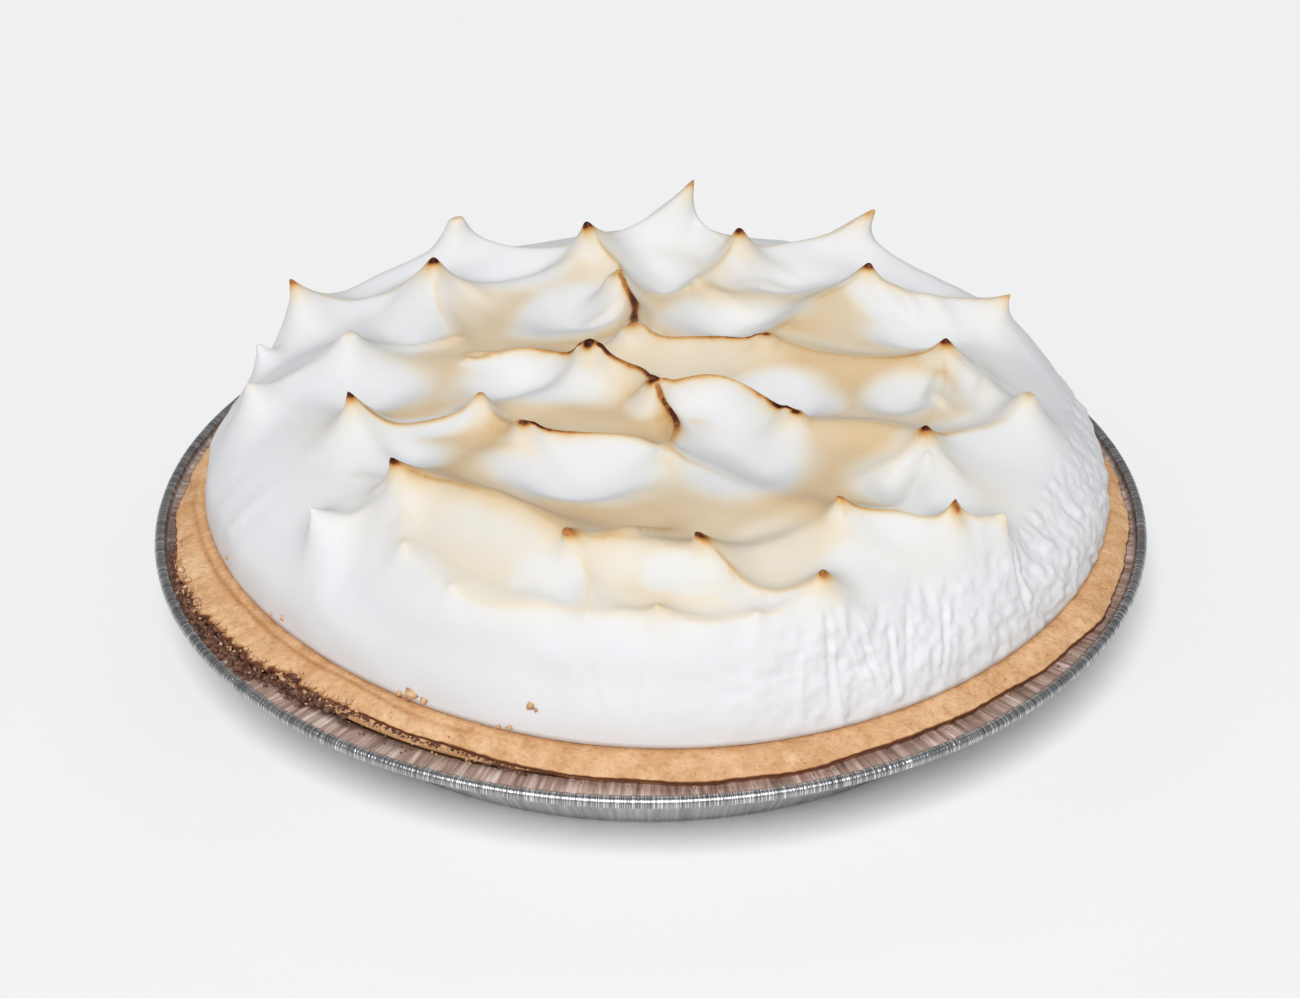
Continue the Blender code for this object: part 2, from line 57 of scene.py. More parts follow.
# %% [markdown]
# The pie is a whole chocolate meringue pie, still in the foil tin it was baked in.
# Three pieces show: the tin, the crumb crust that lies on the tin's rim, and the
# meringue, which hides the filling. Each gets a finer mesh in place of its plain
# solid, with the same form, and a finish made only of shader nodes.
# The camera comes first, so that every later choice can be judged in its view.
# A long lens from well back keeps the round rim from bulging towards the viewer.

# %% Camera
CAMERA_DISTANCE = 0.720
CAMERA_HEIGHT_ANGLE = radians(31.62)
CAMERA_ROLL = radians(-0.384)
CAMERA_AIM = Vector((-0.0001, 0.0037, TIN_HIGH[2] - 1.2 * MM))
CAMERA_LENS = 88.0
CAMERA_SENSOR = 36
CAMERA_NEAR = 10 * MM


def add_camera():
    data = bpy.data.cameras.new("camera")
    data.lens = CAMERA_LENS
    data.sensor_width = CAMERA_SENSOR
    data.clip_start = CAMERA_NEAR
    camera = bpy.data.objects.new("camera", data)
    bpy.context.scene.collection.objects.link(camera)
    forwards = Vector((0, cos(CAMERA_HEIGHT_ANGLE), -sin(CAMERA_HEIGHT_ANGLE)))
    turn = forwards.to_track_quat("-Z", "Y").to_matrix() @ Matrix.Rotation(CAMERA_ROLL, 3, "Z")
    camera.matrix_world = Matrix.Translation(CAMERA_AIM - forwards * CAMERA_DISTANCE) @ turn.to_4x4()
    bpy.context.scene.camera = camera


add_camera()
print("camera at", [round(v, 3) for v in bpy.context.scene.camera.location])

# %% [markdown]
# White food on a white table has almost no colour to show its form, so the light
# does that work. One broad, soft light comes from high up at the front, and the
# pale surroundings fill the rest. Faces turned away from it fall into a quiet
# grey, while nothing turns black. A sun lamp with a wide angle gives the same
# light everywhere, like a very large soft box.

# %% Light
KEY_FROM = Vector((-0.06, -0.66, 0.75))
KEY_ANGLE = radians(24)
KEY_STRENGTH = 2.62
SURROUNDINGS = 0.30
SURROUNDINGS_COLOUR = (0.97, 0.98, 1.0, 1.0)


def add_key():
    data = bpy.data.lights.new("key_light", "SUN")
    data.angle = KEY_ANGLE
    data.energy = KEY_STRENGTH
    lamp = bpy.data.objects.new("key_light", data)
    bpy.context.scene.collection.objects.link(lamp)
    turn = (-KEY_FROM).to_track_quat("-Z", "Y").to_matrix()
    lamp.matrix_world = Matrix.Translation(KEY_FROM) @ turn.to_4x4()


def add_surroundings():
    world = bpy.data.worlds.new("surroundings")
    world.use_nodes = True
    background = world.node_tree.nodes["Background"]
    background.inputs["Color"].default_value = SURROUNDINGS_COLOUR
    background.inputs["Strength"].default_value = SURROUNDINGS
    bpy.context.scene.world = world


add_key()
add_surroundings()
bpy.context.scene.view_settings.view_transform = "Standard"
print("key light", KEY_STRENGTH, "surroundings", SURROUNDINGS)

# %% [markdown]
# Everything in a round tin starts as a turned shape: a profile, which is a line of
# points seen from the side, spun round Z. Blender's spin operator does it. Spinning
# one sector and copying it round gives the same mesh in far less time, and doubled
# points along the joins are then merged.

# %% Turned shapes
SPIN_AXIS = (0, 0, 1)
SECTORS = 20
MERGE = 0.01 * MM
MIDDLE = 60 * MM


def turned(profile, steps):
    """A profile of (radius, height) pairs turned full circle, its middle closed.

    One sector is spun, then copied round: far quicker than one long spin.
    """
    shape = bmesh.new()
    line = [shape.verts.new((radius, 0, height)) for radius, height in profile]
    edges = [shape.edges.new(pair) for pair in zip(line, line[1:])]
    bmesh.ops.spin(
        shape, geom=line + edges, cent=(0, 0, 0), axis=SPIN_AXIS,
        angle=2 * pi / SECTORS, steps=steps // SECTORS,
    )
    sector = shape.verts[:] + shape.edges[:] + shape.faces[:]
    for turn in range(1, SECTORS):
        copy = bmesh.ops.duplicate(shape, geom=sector)["geom"]
        points = [item for item in copy if isinstance(item, bmesh.types.BMVert)]
        rotation = Matrix.Rotation(2 * pi * turn / SECTORS, 3, SPIN_AXIS)
        bmesh.ops.rotate(shape, verts=points, cent=(0, 0, 0), matrix=rotation)
    bmesh.ops.remove_doubles(shape, verts=shape.verts, dist=MERGE)
    close_middle(shape)
    bmesh.ops.recalc_face_normals(shape, faces=shape.faces)
    return shape


def close_middle(shape):
    """A small flat face where the profile stops short of the axis."""
    open_edges = [edge for edge in shape.edges if edge.is_boundary]
    middle = [edge for edge in open_edges if edge.verts[0].co.xy.length < MIDDLE]
    bmesh.ops.holes_fill(shape, edges=middle, sides=0)


print("a turned shape is", SECTORS, "copied sectors")

# %% [markdown]
# Once a shape is an object, its points are moved by a formula, all at once, as
# numpy arrays. Moving many points by one formula is how soft, uneven things such
# as piped or spread food are made here: sculpting in code. A number can be kept on
# each point too, and a material reads it later by its name.

# %% Points, normals and paint
def finished(name, shape):
    """The bmesh as a smooth-shaded object at the origin."""
    mesh = bpy.data.meshes.new(name)
    shape.to_mesh(mesh)
    shape.free()
    mesh.shade_smooth()
    piece = bpy.data.objects.new(name, mesh)
    bpy.context.scene.collection.objects.link(piece)
    return piece


def read_points(mesh):
    flat = np.empty(len(mesh.vertices) * 3, dtype=np.float32)
    mesh.vertices.foreach_get("co", flat)
    return flat.reshape(-1, 3).astype(float)


def write_points(mesh, points):
    mesh.vertices.foreach_set("co", points.astype(np.float32).ravel())
    mesh.update()


def read_normals(mesh):
    flat = np.empty(len(mesh.vertices) * 3, dtype=np.float32)
    mesh.vertex_normals.foreach_get("vector", flat)
    return flat.reshape(-1, 3).astype(float)


def paint(mesh, name, values):
    """Keeps one number for each point, which a material can read by this name."""
    layer = mesh.attributes.new(name, "FLOAT", "POINT")
    layer.data.foreach_set("value", np.asarray(values, dtype=np.float32))


def triangles(piece):
    """How many triangles a piece has once its faces are split."""
    return sum(len(face.vertices) - 2 for face in piece.data.polygons)


def arc(middle, radius, start, end, count):
    """Points along a part of a circle, for rounded places in a profile."""
    angles = np.linspace(start, end, count)
    return [(middle[0] + radius * cos(a), middle[1] + radius * sin(a)) for a in angles]


def smooth_step(value, low, high):
    """0 below low, 1 above high, and a soft rise between them."""
    share = np.clip((value - low) / (high - low), 0, 1)
    return share * share * (3 - 2 * share)


def turn_between(angle, middle):
    """The angle from middle, between minus pi and pi."""
    return (angle - middle + pi) % (2 * pi) - pi


print("half way up a soft step:", float(smooth_step(0.5, 0, 1)))

# %% [markdown]
# Nothing baked is even. Two kinds of unevenness are enough: a cloud, which is
# smooth noise in space, and an outline, which is a closed line through a few
# radii measured round the pie. Both are seeded or listed, so each run is alike.

# %% Unevenness
CLOUD_CELLS = 32


def cloud(places, size, seed):
    """Smooth noise from -1 to 1 whose lumps are about `size` wide."""
    lattice = np.random.default_rng(seed).uniform(-1, 1, (CLOUD_CELLS,) * 3)
    scaled = places / np.asarray(size)
    cell = np.floor(scaled).astype(int)
    part = scaled - cell
    part = part * part * (3 - 2 * part)
    total = np.zeros(len(places))
    for corner in product((0, 1), repeat=3):
        index = (cell + corner) % CLOUD_CELLS
        weight = np.prod(np.where(corner, part, 1 - part), axis=1)
        total += lattice[index[:, 0], index[:, 1], index[:, 2]] * weight
    return total


def outline(angle, radii):
    """A smooth closed line through evenly spaced radii."""
    parts = np.fft.rfft(radii) / len(radii)
    line = np.full_like(angle, parts[0].real)
    for wave, part in enumerate(parts[1:], start=1):
        share = 1 if 2 * wave == len(radii) else 2
        line += share * (part * np.exp(1j * wave * angle)).real
    return line


def wander(angle, waves, seed):
    """A sum of a few waves round the pie, each started at a random place."""
    random = np.random.default_rng(seed)
    line = np.zeros_like(angle)
    for wave in waves:
        line += np.sin(wave * angle + random.uniform(0, 2 * pi)) / len(waves) ** 0.5
    return line


sample = np.random.default_rng(1).uniform(0, 1, (999, 3))
print("cloud spread", round(float(cloud(sample, 0.1, 2).std()), 2))

# %% [markdown]
# The meringue was spread as a flat-topped dome and pulled up into peaks with the
# back of a spoon. Each pull leaves a horn whose sides are concave, like a chain
# hanging from its tip, and a crest that sags between two horns. In front of each
# crest the spoon left a hollow scoop, and between the scoops the foam stands as
# a low plateau. So the surface is written as three tables: peaks, the ridges
# between them, and scoops, as a cook would point at them one by one, in metres.
# A peak's reach says how fast its sides fall, its lean how far the tip is drawn
# aside, blunt the radius of a rounded tip, and burn how dark it gets, up to 1. A
# ridge has its height at its lowest place, the widths of its two faces, and how
# burnt its crest is at the start, middle and end. White is how far a face or a
# scoop stays untanned, and below 0 it gets more tan instead.

# %% The peaks, ridges and scoops
Peak = namedtuple("Peak", "x y rise reach lean_x lean_y blunt burn")
Ridge = namedtuple("Ridge", "start end saddle front back rounding bow white_front white_back burns")
Scoop = namedtuple("Scoop", "x y half_length half_width turn white")

PEAKS = {
    "crown": Peak(0.011, 0.066, 0.0188, 0.0072, 0.0060, 0.0005, 0.0, 0.70),
    "back_right": Peak(0.053, 0.062, 0.0135, 0.0065, 0.0065, 0.0, 0.0, 0.60),
    "back_left": Peak(-0.045, 0.062, 0.0130, 0.0050, 0.0008, 0.0, 0.0016, 0.45),
    "north_left": Peak(-0.0145, 0.052, 0.0135, 0.0065, -0.0015, -0.0005, 0.0004, 1.00),
    "north_right": Peak(0.021, 0.052, 0.0120, 0.0055, 0.0, 0.0, 0.0004, 0.90),
    "swirl_low": Peak(0.009, 0.038, 0.0058, 0.0050, 0.0, 0.0, 0.0, 0.10),
    "west_horn": Peak(-0.082, 0.035, 0.0137, 0.0046, -0.0030, 0.0, 0.0002, 0.75),
    "west_back": Peak(-0.049, 0.035, 0.0136, 0.0085, 0.0, -0.0010, 0.0003, 0.95),
    "scar_north": Peak(-0.007, 0.034, 0.0102, 0.0050, 0.0, 0.0, 0.0024, 0.60),
    "east_back": Peak(0.050, 0.032, 0.0135, 0.0065, 0.0010, 0.0, 0.0003, 0.90),
    "east_horn": Peak(0.082, 0.028, 0.0098, 0.0055, 0.0048, 0.0, 0.0, 0.60),
    "west_tab": Peak(-0.089, 0.022, 0.0070, 0.0035, -0.0020, 0.0, 0.0003, 0.0),
    "west_middle": Peak(-0.066, 0.007, 0.0111, 0.0070, 0.0, 0.0, 0.0015, 0.18),
    "scar_south": Peak(-0.0035, 0.010, 0.0099, 0.0045, 0.0, 0.0, 0.0024, 0.55),
    "middle_right": Peak(0.026, 0.008, 0.0087, 0.0050, 0.0010, 0.0, 0.0020, 0.75),
    "east_middle": Peak(0.065, 0.002, 0.0104, 0.0060, 0.0, 0.0, 0.0, 0.85),
    "heart": Peak(-0.013, -0.003, 0.0112, 0.0055, 0.0, 0.0, 0.0026, 0.95),
    "heart_tail": Peak(-0.040, 0.003, 0.0062, 0.0050, 0.0, 0.0, 0.0, 0.15),
    "fork": Peak(0.001, -0.015, 0.0094, 0.0050, 0.0, 0.0, 0.0024, 0.85),
    "fork_foot": Peak(0.004, -0.039, 0.0069, 0.0050, 0.0, 0.0, 0.0022, 0.30),
    "west_edge": Peak(-0.088, -0.003, 0.0075, 0.0055, -0.0020, 0.0, 0.0004, 0.15),
    "east_edge": Peak(0.0816, -0.017, 0.0095, 0.0060, 0.0005, 0.0, 0.0012, 0.45),
    "left_front": Peak(-0.064, -0.024, 0.0133, 0.0060, -0.0025, 0.0, 0.0002, 0.90),
    "left_saddle": Peak(-0.036, -0.021, 0.0107, 0.0060, 0.0, 0.0, 0.0006, 0.50),
    "left_inner": Peak(-0.027, -0.032, 0.0090, 0.0040, -0.0010, 0.0, 0.0022, 0.80),
    "right_inner": Peak(0.031, -0.027, 0.0093, 0.0045, 0.0010, 0.0, 0.0020, 0.85),
    "right_middle": Peak(0.058, -0.034, 0.0097, 0.0060, 0.0, 0.0, 0.0, 0.90),
    "left_horn": Peak(-0.053, -0.052, 0.0128, 0.0070, -0.0045, 0.0, 0.0002, 0.95),
    "left_low": Peak(-0.070, -0.053, 0.0105, 0.0050, -0.0025, 0.0, 0.0, 0.05),
    "front_left": Peak(-0.017, -0.075, 0.0110, 0.0055, -0.0035, -0.0010, 0.0003, 0.68),
    "front_middle": Peak(0.009, -0.077, 0.0115, 0.0055, -0.0035, -0.0010, 0.0003, 0.85),
    "front_right": Peak(0.034, -0.081, 0.0090, 0.0050, -0.0010, -0.0005, 0.0, 0.75),
    "right_front": Peak(0.038, -0.063, 0.0105, 0.0055, -0.0020, 0.0, 0.0003, 0.54),
    "right_end": Peak(0.062, -0.060, 0.0130, 0.0055, 0.0, 0.0, 0.0, 0.80),
    "right_tip": Peak(0.073, -0.056, 0.0106, 0.0045, 0.0020, 0.0, 0.0003, 0.25),
    "inner_fold": Peak(0.058, -0.039, 0.0065, 0.0040, 0.0, 0.0, 0.0, 0.0),
    "rim_west": Peak(-0.050, -0.066, 0.0065, 0.0050, 0.0, 0.0, 0.0, 0.10),
    "rim_bend": Peak(-0.040, -0.078, 0.0060, 0.0050, 0.0, 0.0, 0.0, 0.10),
    "rim_left": Peak(-0.0125, -0.0885, 0.0062, 0.0050, 0.0, 0.0, 0.0, 0.10),
    "rim_middle": Peak(0.001, -0.089, 0.0075, 0.0045, -0.0010, 0.0, 0.0, 0.30),
    "rim_right": Peak(0.021, -0.088, 0.0060, 0.0050, 0.0, 0.0, 0.0, 0.10),
}

RIDGES = (
    Ridge("back_left", "north_left", 0.0065, 0.005, 0.007, 0.0015, 0.0, 1.0, 0.0, (0.1, 0.0, 0.3)),
    Ridge("north_left", "crown", 0.0090, 0.005, 0.007, 0.0015, 0.0, 1.0, 0.0, (0.3, 0.0, 0.1)),
    Ridge("crown", "north_right", 0.0095, 0.005, 0.006, 0.0010, -0.003, 0.5, 0.0, (0.2, 0.1, 0.3)),
    Ridge("north_right", "swirl_low", 0.0070, 0.005, 0.005, 0.0020, 0.0, 0.0, 0.0, (0.45, 0.2, 0.1)),
    Ridge("north_right", "back_right", 0.0068, 0.005, 0.007, 0.0015, 0.0, 1.0, 0.0, (0.4, 0.1, 0.5)),
    Ridge("west_horn", "back_left", 0.0050, 0.006, 0.007, 0.0030, 0.0, 0.5, 0.0, (0.0, 0.0, 0.0)),
    Ridge("back_right", "east_horn", 0.0055, 0.006, 0.007, 0.0030, -0.003, 0.5, 0.0, (0.0, 0.0, 0.0)),
    Ridge("west_horn", "west_back", 0.0042, 0.006, 0.006, 0.0020, 0.0, 0.8, 0.0, (0.4, 0.1, 0.4)),
    Ridge("west_back", "north_left", 0.0060, 0.009, 0.007, 0.0035, 0.003, 0.0, 0.0, (0.3, 0.0, 0.3)),
    Ridge("west_back", "heart_tail", 0.0058, 0.006, 0.006, 0.0030, 0.0, 0.0, 0.0, (0.4, 0.1, 0.0)),
    Ridge("north_left", "scar_north", 0.0085, 0.006, 0.006, 0.0003, -0.002, 0.0, 0.0, (0.5, 0.35, 0.8)),
    Ridge("scar_north", "scar_south", 0.0095, 0.005, 0.005, 0.0002, -0.002, 0.0, 0.3, (0.78, 0.80, 0.86)),
    Ridge("scar_south", "middle_right", 0.0104, 0.010, 0.005, 0.0003, 0.002, 0.35, 1.0, (0.35, 0.42, 0.90)),
    Ridge("middle_right", "east_back", 0.0095, 0.010, 0.006, 0.0040, -0.002, 0.0, 0.1, (0.2, 0.0, 0.4)),
    Ridge("east_back", "east_horn", 0.0090, 0.006, 0.008, 0.0020, 0.002, 1.0, 0.3, (0.3, 0.1, 0.4)),
    Ridge("west_edge", "west_middle", 0.0045, 0.006, 0.006, 0.0015, 0.0, 1.0, 0.0, (0.1, 0.1, 0.25)),
    Ridge("heart_tail", "heart", 0.0096, 0.005, 0.010, 0.0006, -0.002, 1.0, 0.0, (0.15, 0.55, 1.0)),
    Ridge("west_middle", "heart_tail", 0.0050, 0.008, 0.008, 0.0050, 0.0, 0.0, 0.0, (0.0, 0.0, 0.0)),
    Ridge("heart", "fork", 0.0112, 0.006, 0.008, 0.0002, -0.004, 0.0, 0.0, (1.00, 0.65, 0.95)),
    Ridge("fork", "fork_foot", 0.0085, 0.005, 0.004, 0.0002, -0.0015, 0.0, 1.0, (0.70, 0.92, 0.25)),
    Ridge("fork", "right_inner", 0.0128, 0.006, 0.006, 0.0002, -0.005, 1.0, 0.0, (0.60, 0.35, 1.0)),
    Ridge("right_inner", "right_middle", 0.0080, 0.008, 0.008, 0.0035, -0.004, 0.0, 0.3, (0.2, 0.0, 0.25)),
    Ridge("right_middle", "east_edge", 0.0050, 0.006, 0.006, 0.0020, 0.0, 1.0, 0.6, (0.6, 0.1, 0.2)),
    Ridge("middle_right", "east_middle", 0.0072, 0.009, 0.006, 0.0040, 0.002, 0.0, 0.3, (0.2, 0.1, 0.55)),
    Ridge("east_middle", "right_middle", 0.0045, 0.005, 0.005, 0.0020, 0.0, 0.0, 0.0, (0.3, 0.1, 0.2)),
    Ridge("east_middle", "east_edge", 0.0045, 0.006, 0.006, 0.0025, 0.0, 0.6, 0.6, (0.4, 0.0, 0.2)),
    Ridge("left_front", "left_saddle", 0.0058, 0.006, 0.005, 0.0005, 0.002, 1.0, 1.0, (0.55, 0.35, 0.4)),
    Ridge("left_saddle", "left_inner", 0.0078, 0.006, 0.006, 0.0010, 0.0, 0.0, 0.0, (0.2, 0.1, 0.3)),
    Ridge("left_saddle", "heart", 0.0055, 0.008, 0.006, 0.0030, 0.0, 0.0, 0.5, (0.1, 0.0, 0.1)),
    Ridge("left_inner", "fork_foot", 0.0100, 0.005, 0.008, 0.0006, -0.003, 1.0, 0.0, (0.95, 0.40, 0.0)),
    Ridge("fork_foot", "right_front", 0.0060, 0.009, 0.008, 0.0040, 0.0, 0.0, 0.0, (0.4, 0.0, 0.1)),
    Ridge("left_horn", "front_left", 0.0122, 0.006, 0.009, 0.0045, 0.0, 0.15, 0.0, (0.45, 0.00, 0.15)),
    Ridge("left_horn", "left_inner", 0.0050, 0.008, 0.008, 0.0040, 0.0, 0.0, 0.0, (0.1, 0.0, 0.0)),
    Ridge("front_left", "front_middle", 0.0104, 0.006, 0.009, 0.0030, 0.001, 0.2, 0.0, (0.34, 0.00, 0.15)),
    Ridge("front_left", "rim_left", 0.0070, 0.006, 0.006, 0.0012, 0.0, 0.0, 0.3, (0.30, 0.12, 0.10)),
    Ridge("front_middle", "front_right", 0.0050, 0.006, 0.006, 0.0008, 0.004, 0.6, 0.0, (0.6, 0.20, 0.35)),
    Ridge("front_middle", "right_front", 0.0055, 0.008, 0.007, 0.0030, 0.0, 0.3, 0.0, (0.1, 0.0, 0.1)),
    Ridge("right_front", "right_end", 0.0100, 0.006, 0.005, 0.0004, 0.0015, 1.0, 0.6, (0.62, 0.18, 0.45)),
    Ridge("right_end", "right_tip", 0.0115, 0.006, 0.005, 0.0004, 0.0, 1.0, 0.6, (0.5, 0.25, 0.20)),
    Ridge("inner_fold", "right_front", 0.0035, 0.004, 0.005, 0.0008, -0.003, 0.0, 0.0, (0.0, 0.0, 0.0)),
    Ridge("left_low", "left_horn", 0.0040, 0.007, 0.005, 0.0015, 0.0, 0.0, 0.8, (0.0, 0.0, 0.1)),
    Ridge("left_front", "left_horn", 0.0030, 0.007, 0.007, 0.0025, 0.0, 0.0, 0.0, (0.0, 0.0, 0.0)),
    Ridge("left_horn", "rim_west", 0.0072, 0.005, 0.007, 0.0010, 0.001, 0.4, 0.4, (0.35, 0.05, 0.0)),
    Ridge("rim_west", "rim_bend", 0.0060, 0.006, 0.006, 0.0010, 0.0, 0.0, 0.0, (0.1, 0.05, 0.1)),
    Ridge("rim_bend", "rim_left", 0.0060, 0.006, 0.006, 0.0010, 0.0, 0.0, 0.0, (0.1, 0.10, 0.1)),
    Ridge("rim_left", "rim_middle", 0.0060, 0.006, 0.006, 0.0010, 0.0, 0.0, 0.0, (0.1, 0.05, 0.1)),
    Ridge("rim_middle", "rim_right", 0.0055, 0.006, 0.006, 0.0010, 0.0, 0.0, 0.0, (0.2, 0.05, 0.1)),
    Ridge("rim_right", "front_right", 0.0060, 0.006, 0.006, 0.0010, 0.001, 0.3, 0.0, (0.1, 0.10, 0.3)),
)

SCOOPS = {
    "under_left_inner": Scoop(-0.014, -0.044, 0.0195, 0.0105, -12, 1.0),
    "under_fork": Scoop(0.018, -0.036, 0.0150, 0.0175, 0, 1.0),
    "behind_fork": Scoop(0.031, -0.010, 0.0135, 0.0100, -28, 1.0),
    "under_heart": Scoop(-0.0255, -0.0065, 0.0200, 0.0095, 3, 1.0),
    "under_north_left": Scoop(-0.0165, 0.0280, 0.0165, 0.0120, 50, 1.0),
    "under_crown": Scoop(0.003, 0.046, 0.0105, 0.0105, 0, 0.9),
    "under_north_right": Scoop(0.018, 0.025, 0.0175, 0.0110, -10, 0.9),
    "under_back_right": Scoop(0.035, 0.044, 0.0170, 0.0110, 0, 0.8),
    "under_east_back": Scoop(0.062, 0.017, 0.0150, 0.0085, 0, 0.9),
    "east_hollow_left": Scoop(0.0545, -0.0115, 0.0092, 0.0105, 0, 0.9),
    "east_hollow_right": Scoop(0.073, -0.009, 0.0075, 0.0120, 0, 0.8),
    "under_right_middle": Scoop(0.056, -0.047, 0.0160, 0.0120, 2, 0.9),
    "under_back_left": Scoop(-0.034, 0.047, 0.0155, 0.0100, 4, 0.9),
    "under_west_back": Scoop(-0.056, 0.023, 0.0130, 0.0140, 0, 1.0),
    "under_west_middle": Scoop(-0.062, -0.006, 0.0155, 0.0115, 0, 1.0),
    "under_left_front": Scoop(-0.056, -0.037, 0.0140, 0.0100, 0, 1.0),
    "under_left_horn": Scoop(-0.033, -0.072, 0.0210, 0.0085, -33, 0.55),
    "under_front_left": Scoop(-0.001, -0.082, 0.0115, 0.0060, 0, 0.00),
    "behind_front_middle": Scoop(0.026, -0.069, 0.0110, 0.0100, 0, 0.4),
    "under_right_front": Scoop(0.050, -0.072, 0.0200, 0.0070, 14, 1.0),
}

# Places inside the hollows and on the slopes that stayed whiter, or got a breath of tan
UNEVEN_TAN = (
    Scoop(-0.0215, -0.0795, 0.0095, 0.0050, -35, 0.95),
    Scoop(0.0050, -0.0805, 0.0100, 0.0036, 4, 0.85),
    Scoop(-0.0430, -0.0735, 0.0080, 0.0030, -50, 0.60),
    Scoop(0.0740, -0.0350, 0.0130, 0.0090, -30, -0.10),
    Scoop(0.0480, -0.0690, 0.0150, 0.0060, 25, -0.09),
    Scoop(0.0480, -0.0430, 0.0100, 0.0050, -10, -0.12),
)

print(len(PEAKS), "peaks,", len(RIDGES), "ridges,", len(SCOOPS), "scoops")

# %% [markdown]
# A ridge's crest is highest at its two horns and sags between them. Its faces
# fall away exponentially, which is what gives meringue its drawn, concave look.
# So a peak needs only its distance from the tip, and a ridge only the distance from
# its crest and the share of the way along it.

# %% Heights of peaks and ridges
TIP_SOFTNESS = 0.3 * MM
RIDGE_SHARE = 0.8
BLUNT_FROM = 1.6 * MM
BLUNT_TO = 2.4 * MM
CREST_SAG = 4.6


def soften(distance, radius):
    """Rounds off the sharp point that a plain distance has at 0."""
    return np.sqrt(distance * distance + radius * radius) - radius


def peak_root(peak):
    """Where a peak stands, before its tip is drawn aside."""
    return peak.x - peak.lean_x, peak.y - peak.lean_y


def peak_height(peak, x, y):
    root_x, root_y = peak_root(peak)
    distance = np.hypot(x - root_x, y - root_y)
    outside = soften(np.maximum(distance - peak.blunt, 0), TIP_SOFTNESS)
    return peak.rise * np.exp(-outside / peak.reach)


def along_ridge(ridge, x, y):
    """Share of the way along, distance from the crest, and distance behind it."""
    start_x, start_y = peak_root(PEAKS[ridge.start])
    end_x, end_y = peak_root(PEAKS[ridge.end])
    length = np.hypot(end_x - start_x, end_y - start_y)
    along_x, along_y = (end_x - start_x) / length, (end_y - start_y) / length
    share = ((x - start_x) * along_x + (y - start_y) * along_y) / length
    inside = np.clip(share, 0, 1)
    side = (y - start_y) * along_x - (x - start_x) * along_y
    side = side + ridge.bow * np.sin(pi * inside)
    return inside, np.hypot(side, (share - inside) * length), side * np.sign(along_x)


def crest_end(peak):
    """A crest meets a horn below its tip, and a blunt peak at its full height."""
    blunt = smooth_step(peak.blunt, BLUNT_FROM, BLUNT_TO)
    return peak.rise * (RIDGE_SHARE + (1 - RIDGE_SHARE) * blunt)


def ridge_height(ridge, x, y):
    inside, away, behind = along_ridge(ridge, x, y)
    width = np.where(behind > 0, ridge.back, ridge.front)
    crest = ridge.saddle
    crest = crest + (crest_end(PEAKS[ridge.start]) - ridge.saddle) * np.exp(-CREST_SAG * inside)
    crest = crest + (crest_end(PEAKS[ridge.end]) - ridge.saddle) * np.exp(-CREST_SAG * (1 - inside))
    return np.maximum(crest, 0) * np.exp(-soften(away, ridge.rounding) / width)


tallest = max(PEAKS, key=lambda name: PEAKS[name].rise)
print("tallest peak:", tallest, round(PEAKS[tallest].rise / MM, 1), "mm")

# %% [markdown]
# A smooth maximum (a sum of high powers) lets every peak and ridge melt into the
# next one without a seam, where a plain maximum would leave a crease. The straight
# ridges are bent a little by a slow drift, and each tip is drawn sideways last, as
# the foam trails after the spoon.

# %% Height of the whole surface
BLEND_POWER = 5.0
DRIFT = 1.6 * MM
DRIFT_FREE = 7.0 * MM
# Each wave: how fast it turns along x and along y, and where it starts
DRIFT_WAVES = ((70, 110, 1.0), (130, -50, 2.0))
FAR = 1.0
FOOT_RADIUS = 0.0970
PLATEAU = 5.2 * MM
PLATEAU_RADIUS = 56 * MM
SCOOP_EDGE = 1.0
SCOOP_DEPTH = 0.85
PULL_REACH = 0.55
PULL_POWER = 1.3


def nearest_root(x, y):
    """Distance from the nearest peak."""
    nearest = np.full_like(x, FAR)
    for peak in PEAKS.values():
        root_x, root_y = peak_root(peak)
        nearest = np.minimum(nearest, np.hypot(x - root_x, y - root_y))
    return nearest


def drift(x, y):
    """A slow sideways wander that bends the ridges but leaves the peaks in place."""
    free = DRIFT * (1 - np.exp(-(nearest_root(x, y) / DRIFT_FREE) ** 2))
    drift_x, drift_y = (free * np.sin(a * x + b * y + start) for a, b, start in DRIFT_WAVES)
    return x + drift_x, y + drift_y


def scoop_inside(scoop, x, y):
    """1 in the middle of a scoop, 0 at its edge, negative outside it."""
    along_x, along_y = cos(radians(scoop.turn)), sin(radians(scoop.turn))
    along = ((x - scoop.x) * along_x + (y - scoop.y) * along_y) / scoop.half_length
    across = ((y - scoop.y) * along_x - (x - scoop.x) * along_y) / scoop.half_width
    return 1 - np.hypot(along, across)


def scoop_share(scoop, x, y):
    """1 at the bottom of a scoop, 0 outside it."""
    return smooth_step(scoop_inside(scoop, x, y), 0, SCOOP_EDGE)


def plateau(x, y):
    """The foam between the scoops, lower towards the side."""
    height = PLATEAU * (1 - smooth_step(np.hypot(x, y), PLATEAU_RADIUS, FOOT_RADIUS))
    for scoop in SCOOPS.values():
        height = height * (1 - SCOOP_DEPTH * scoop_share(scoop, x, y))
    return height


def relief(x, y):
    """The height of everything on the top, melted together."""
    bent_x, bent_y = drift(x, y)
    total = plateau(bent_x, bent_y) ** BLEND_POWER
    total = total + sum(peak_height(peak, x, y) ** BLEND_POWER for peak in PEAKS.values())
    total = total + sum(ridge_height(r, bent_x, bent_y) ** BLEND_POWER for r in RIDGES)
    return total ** (1 / BLEND_POWER)


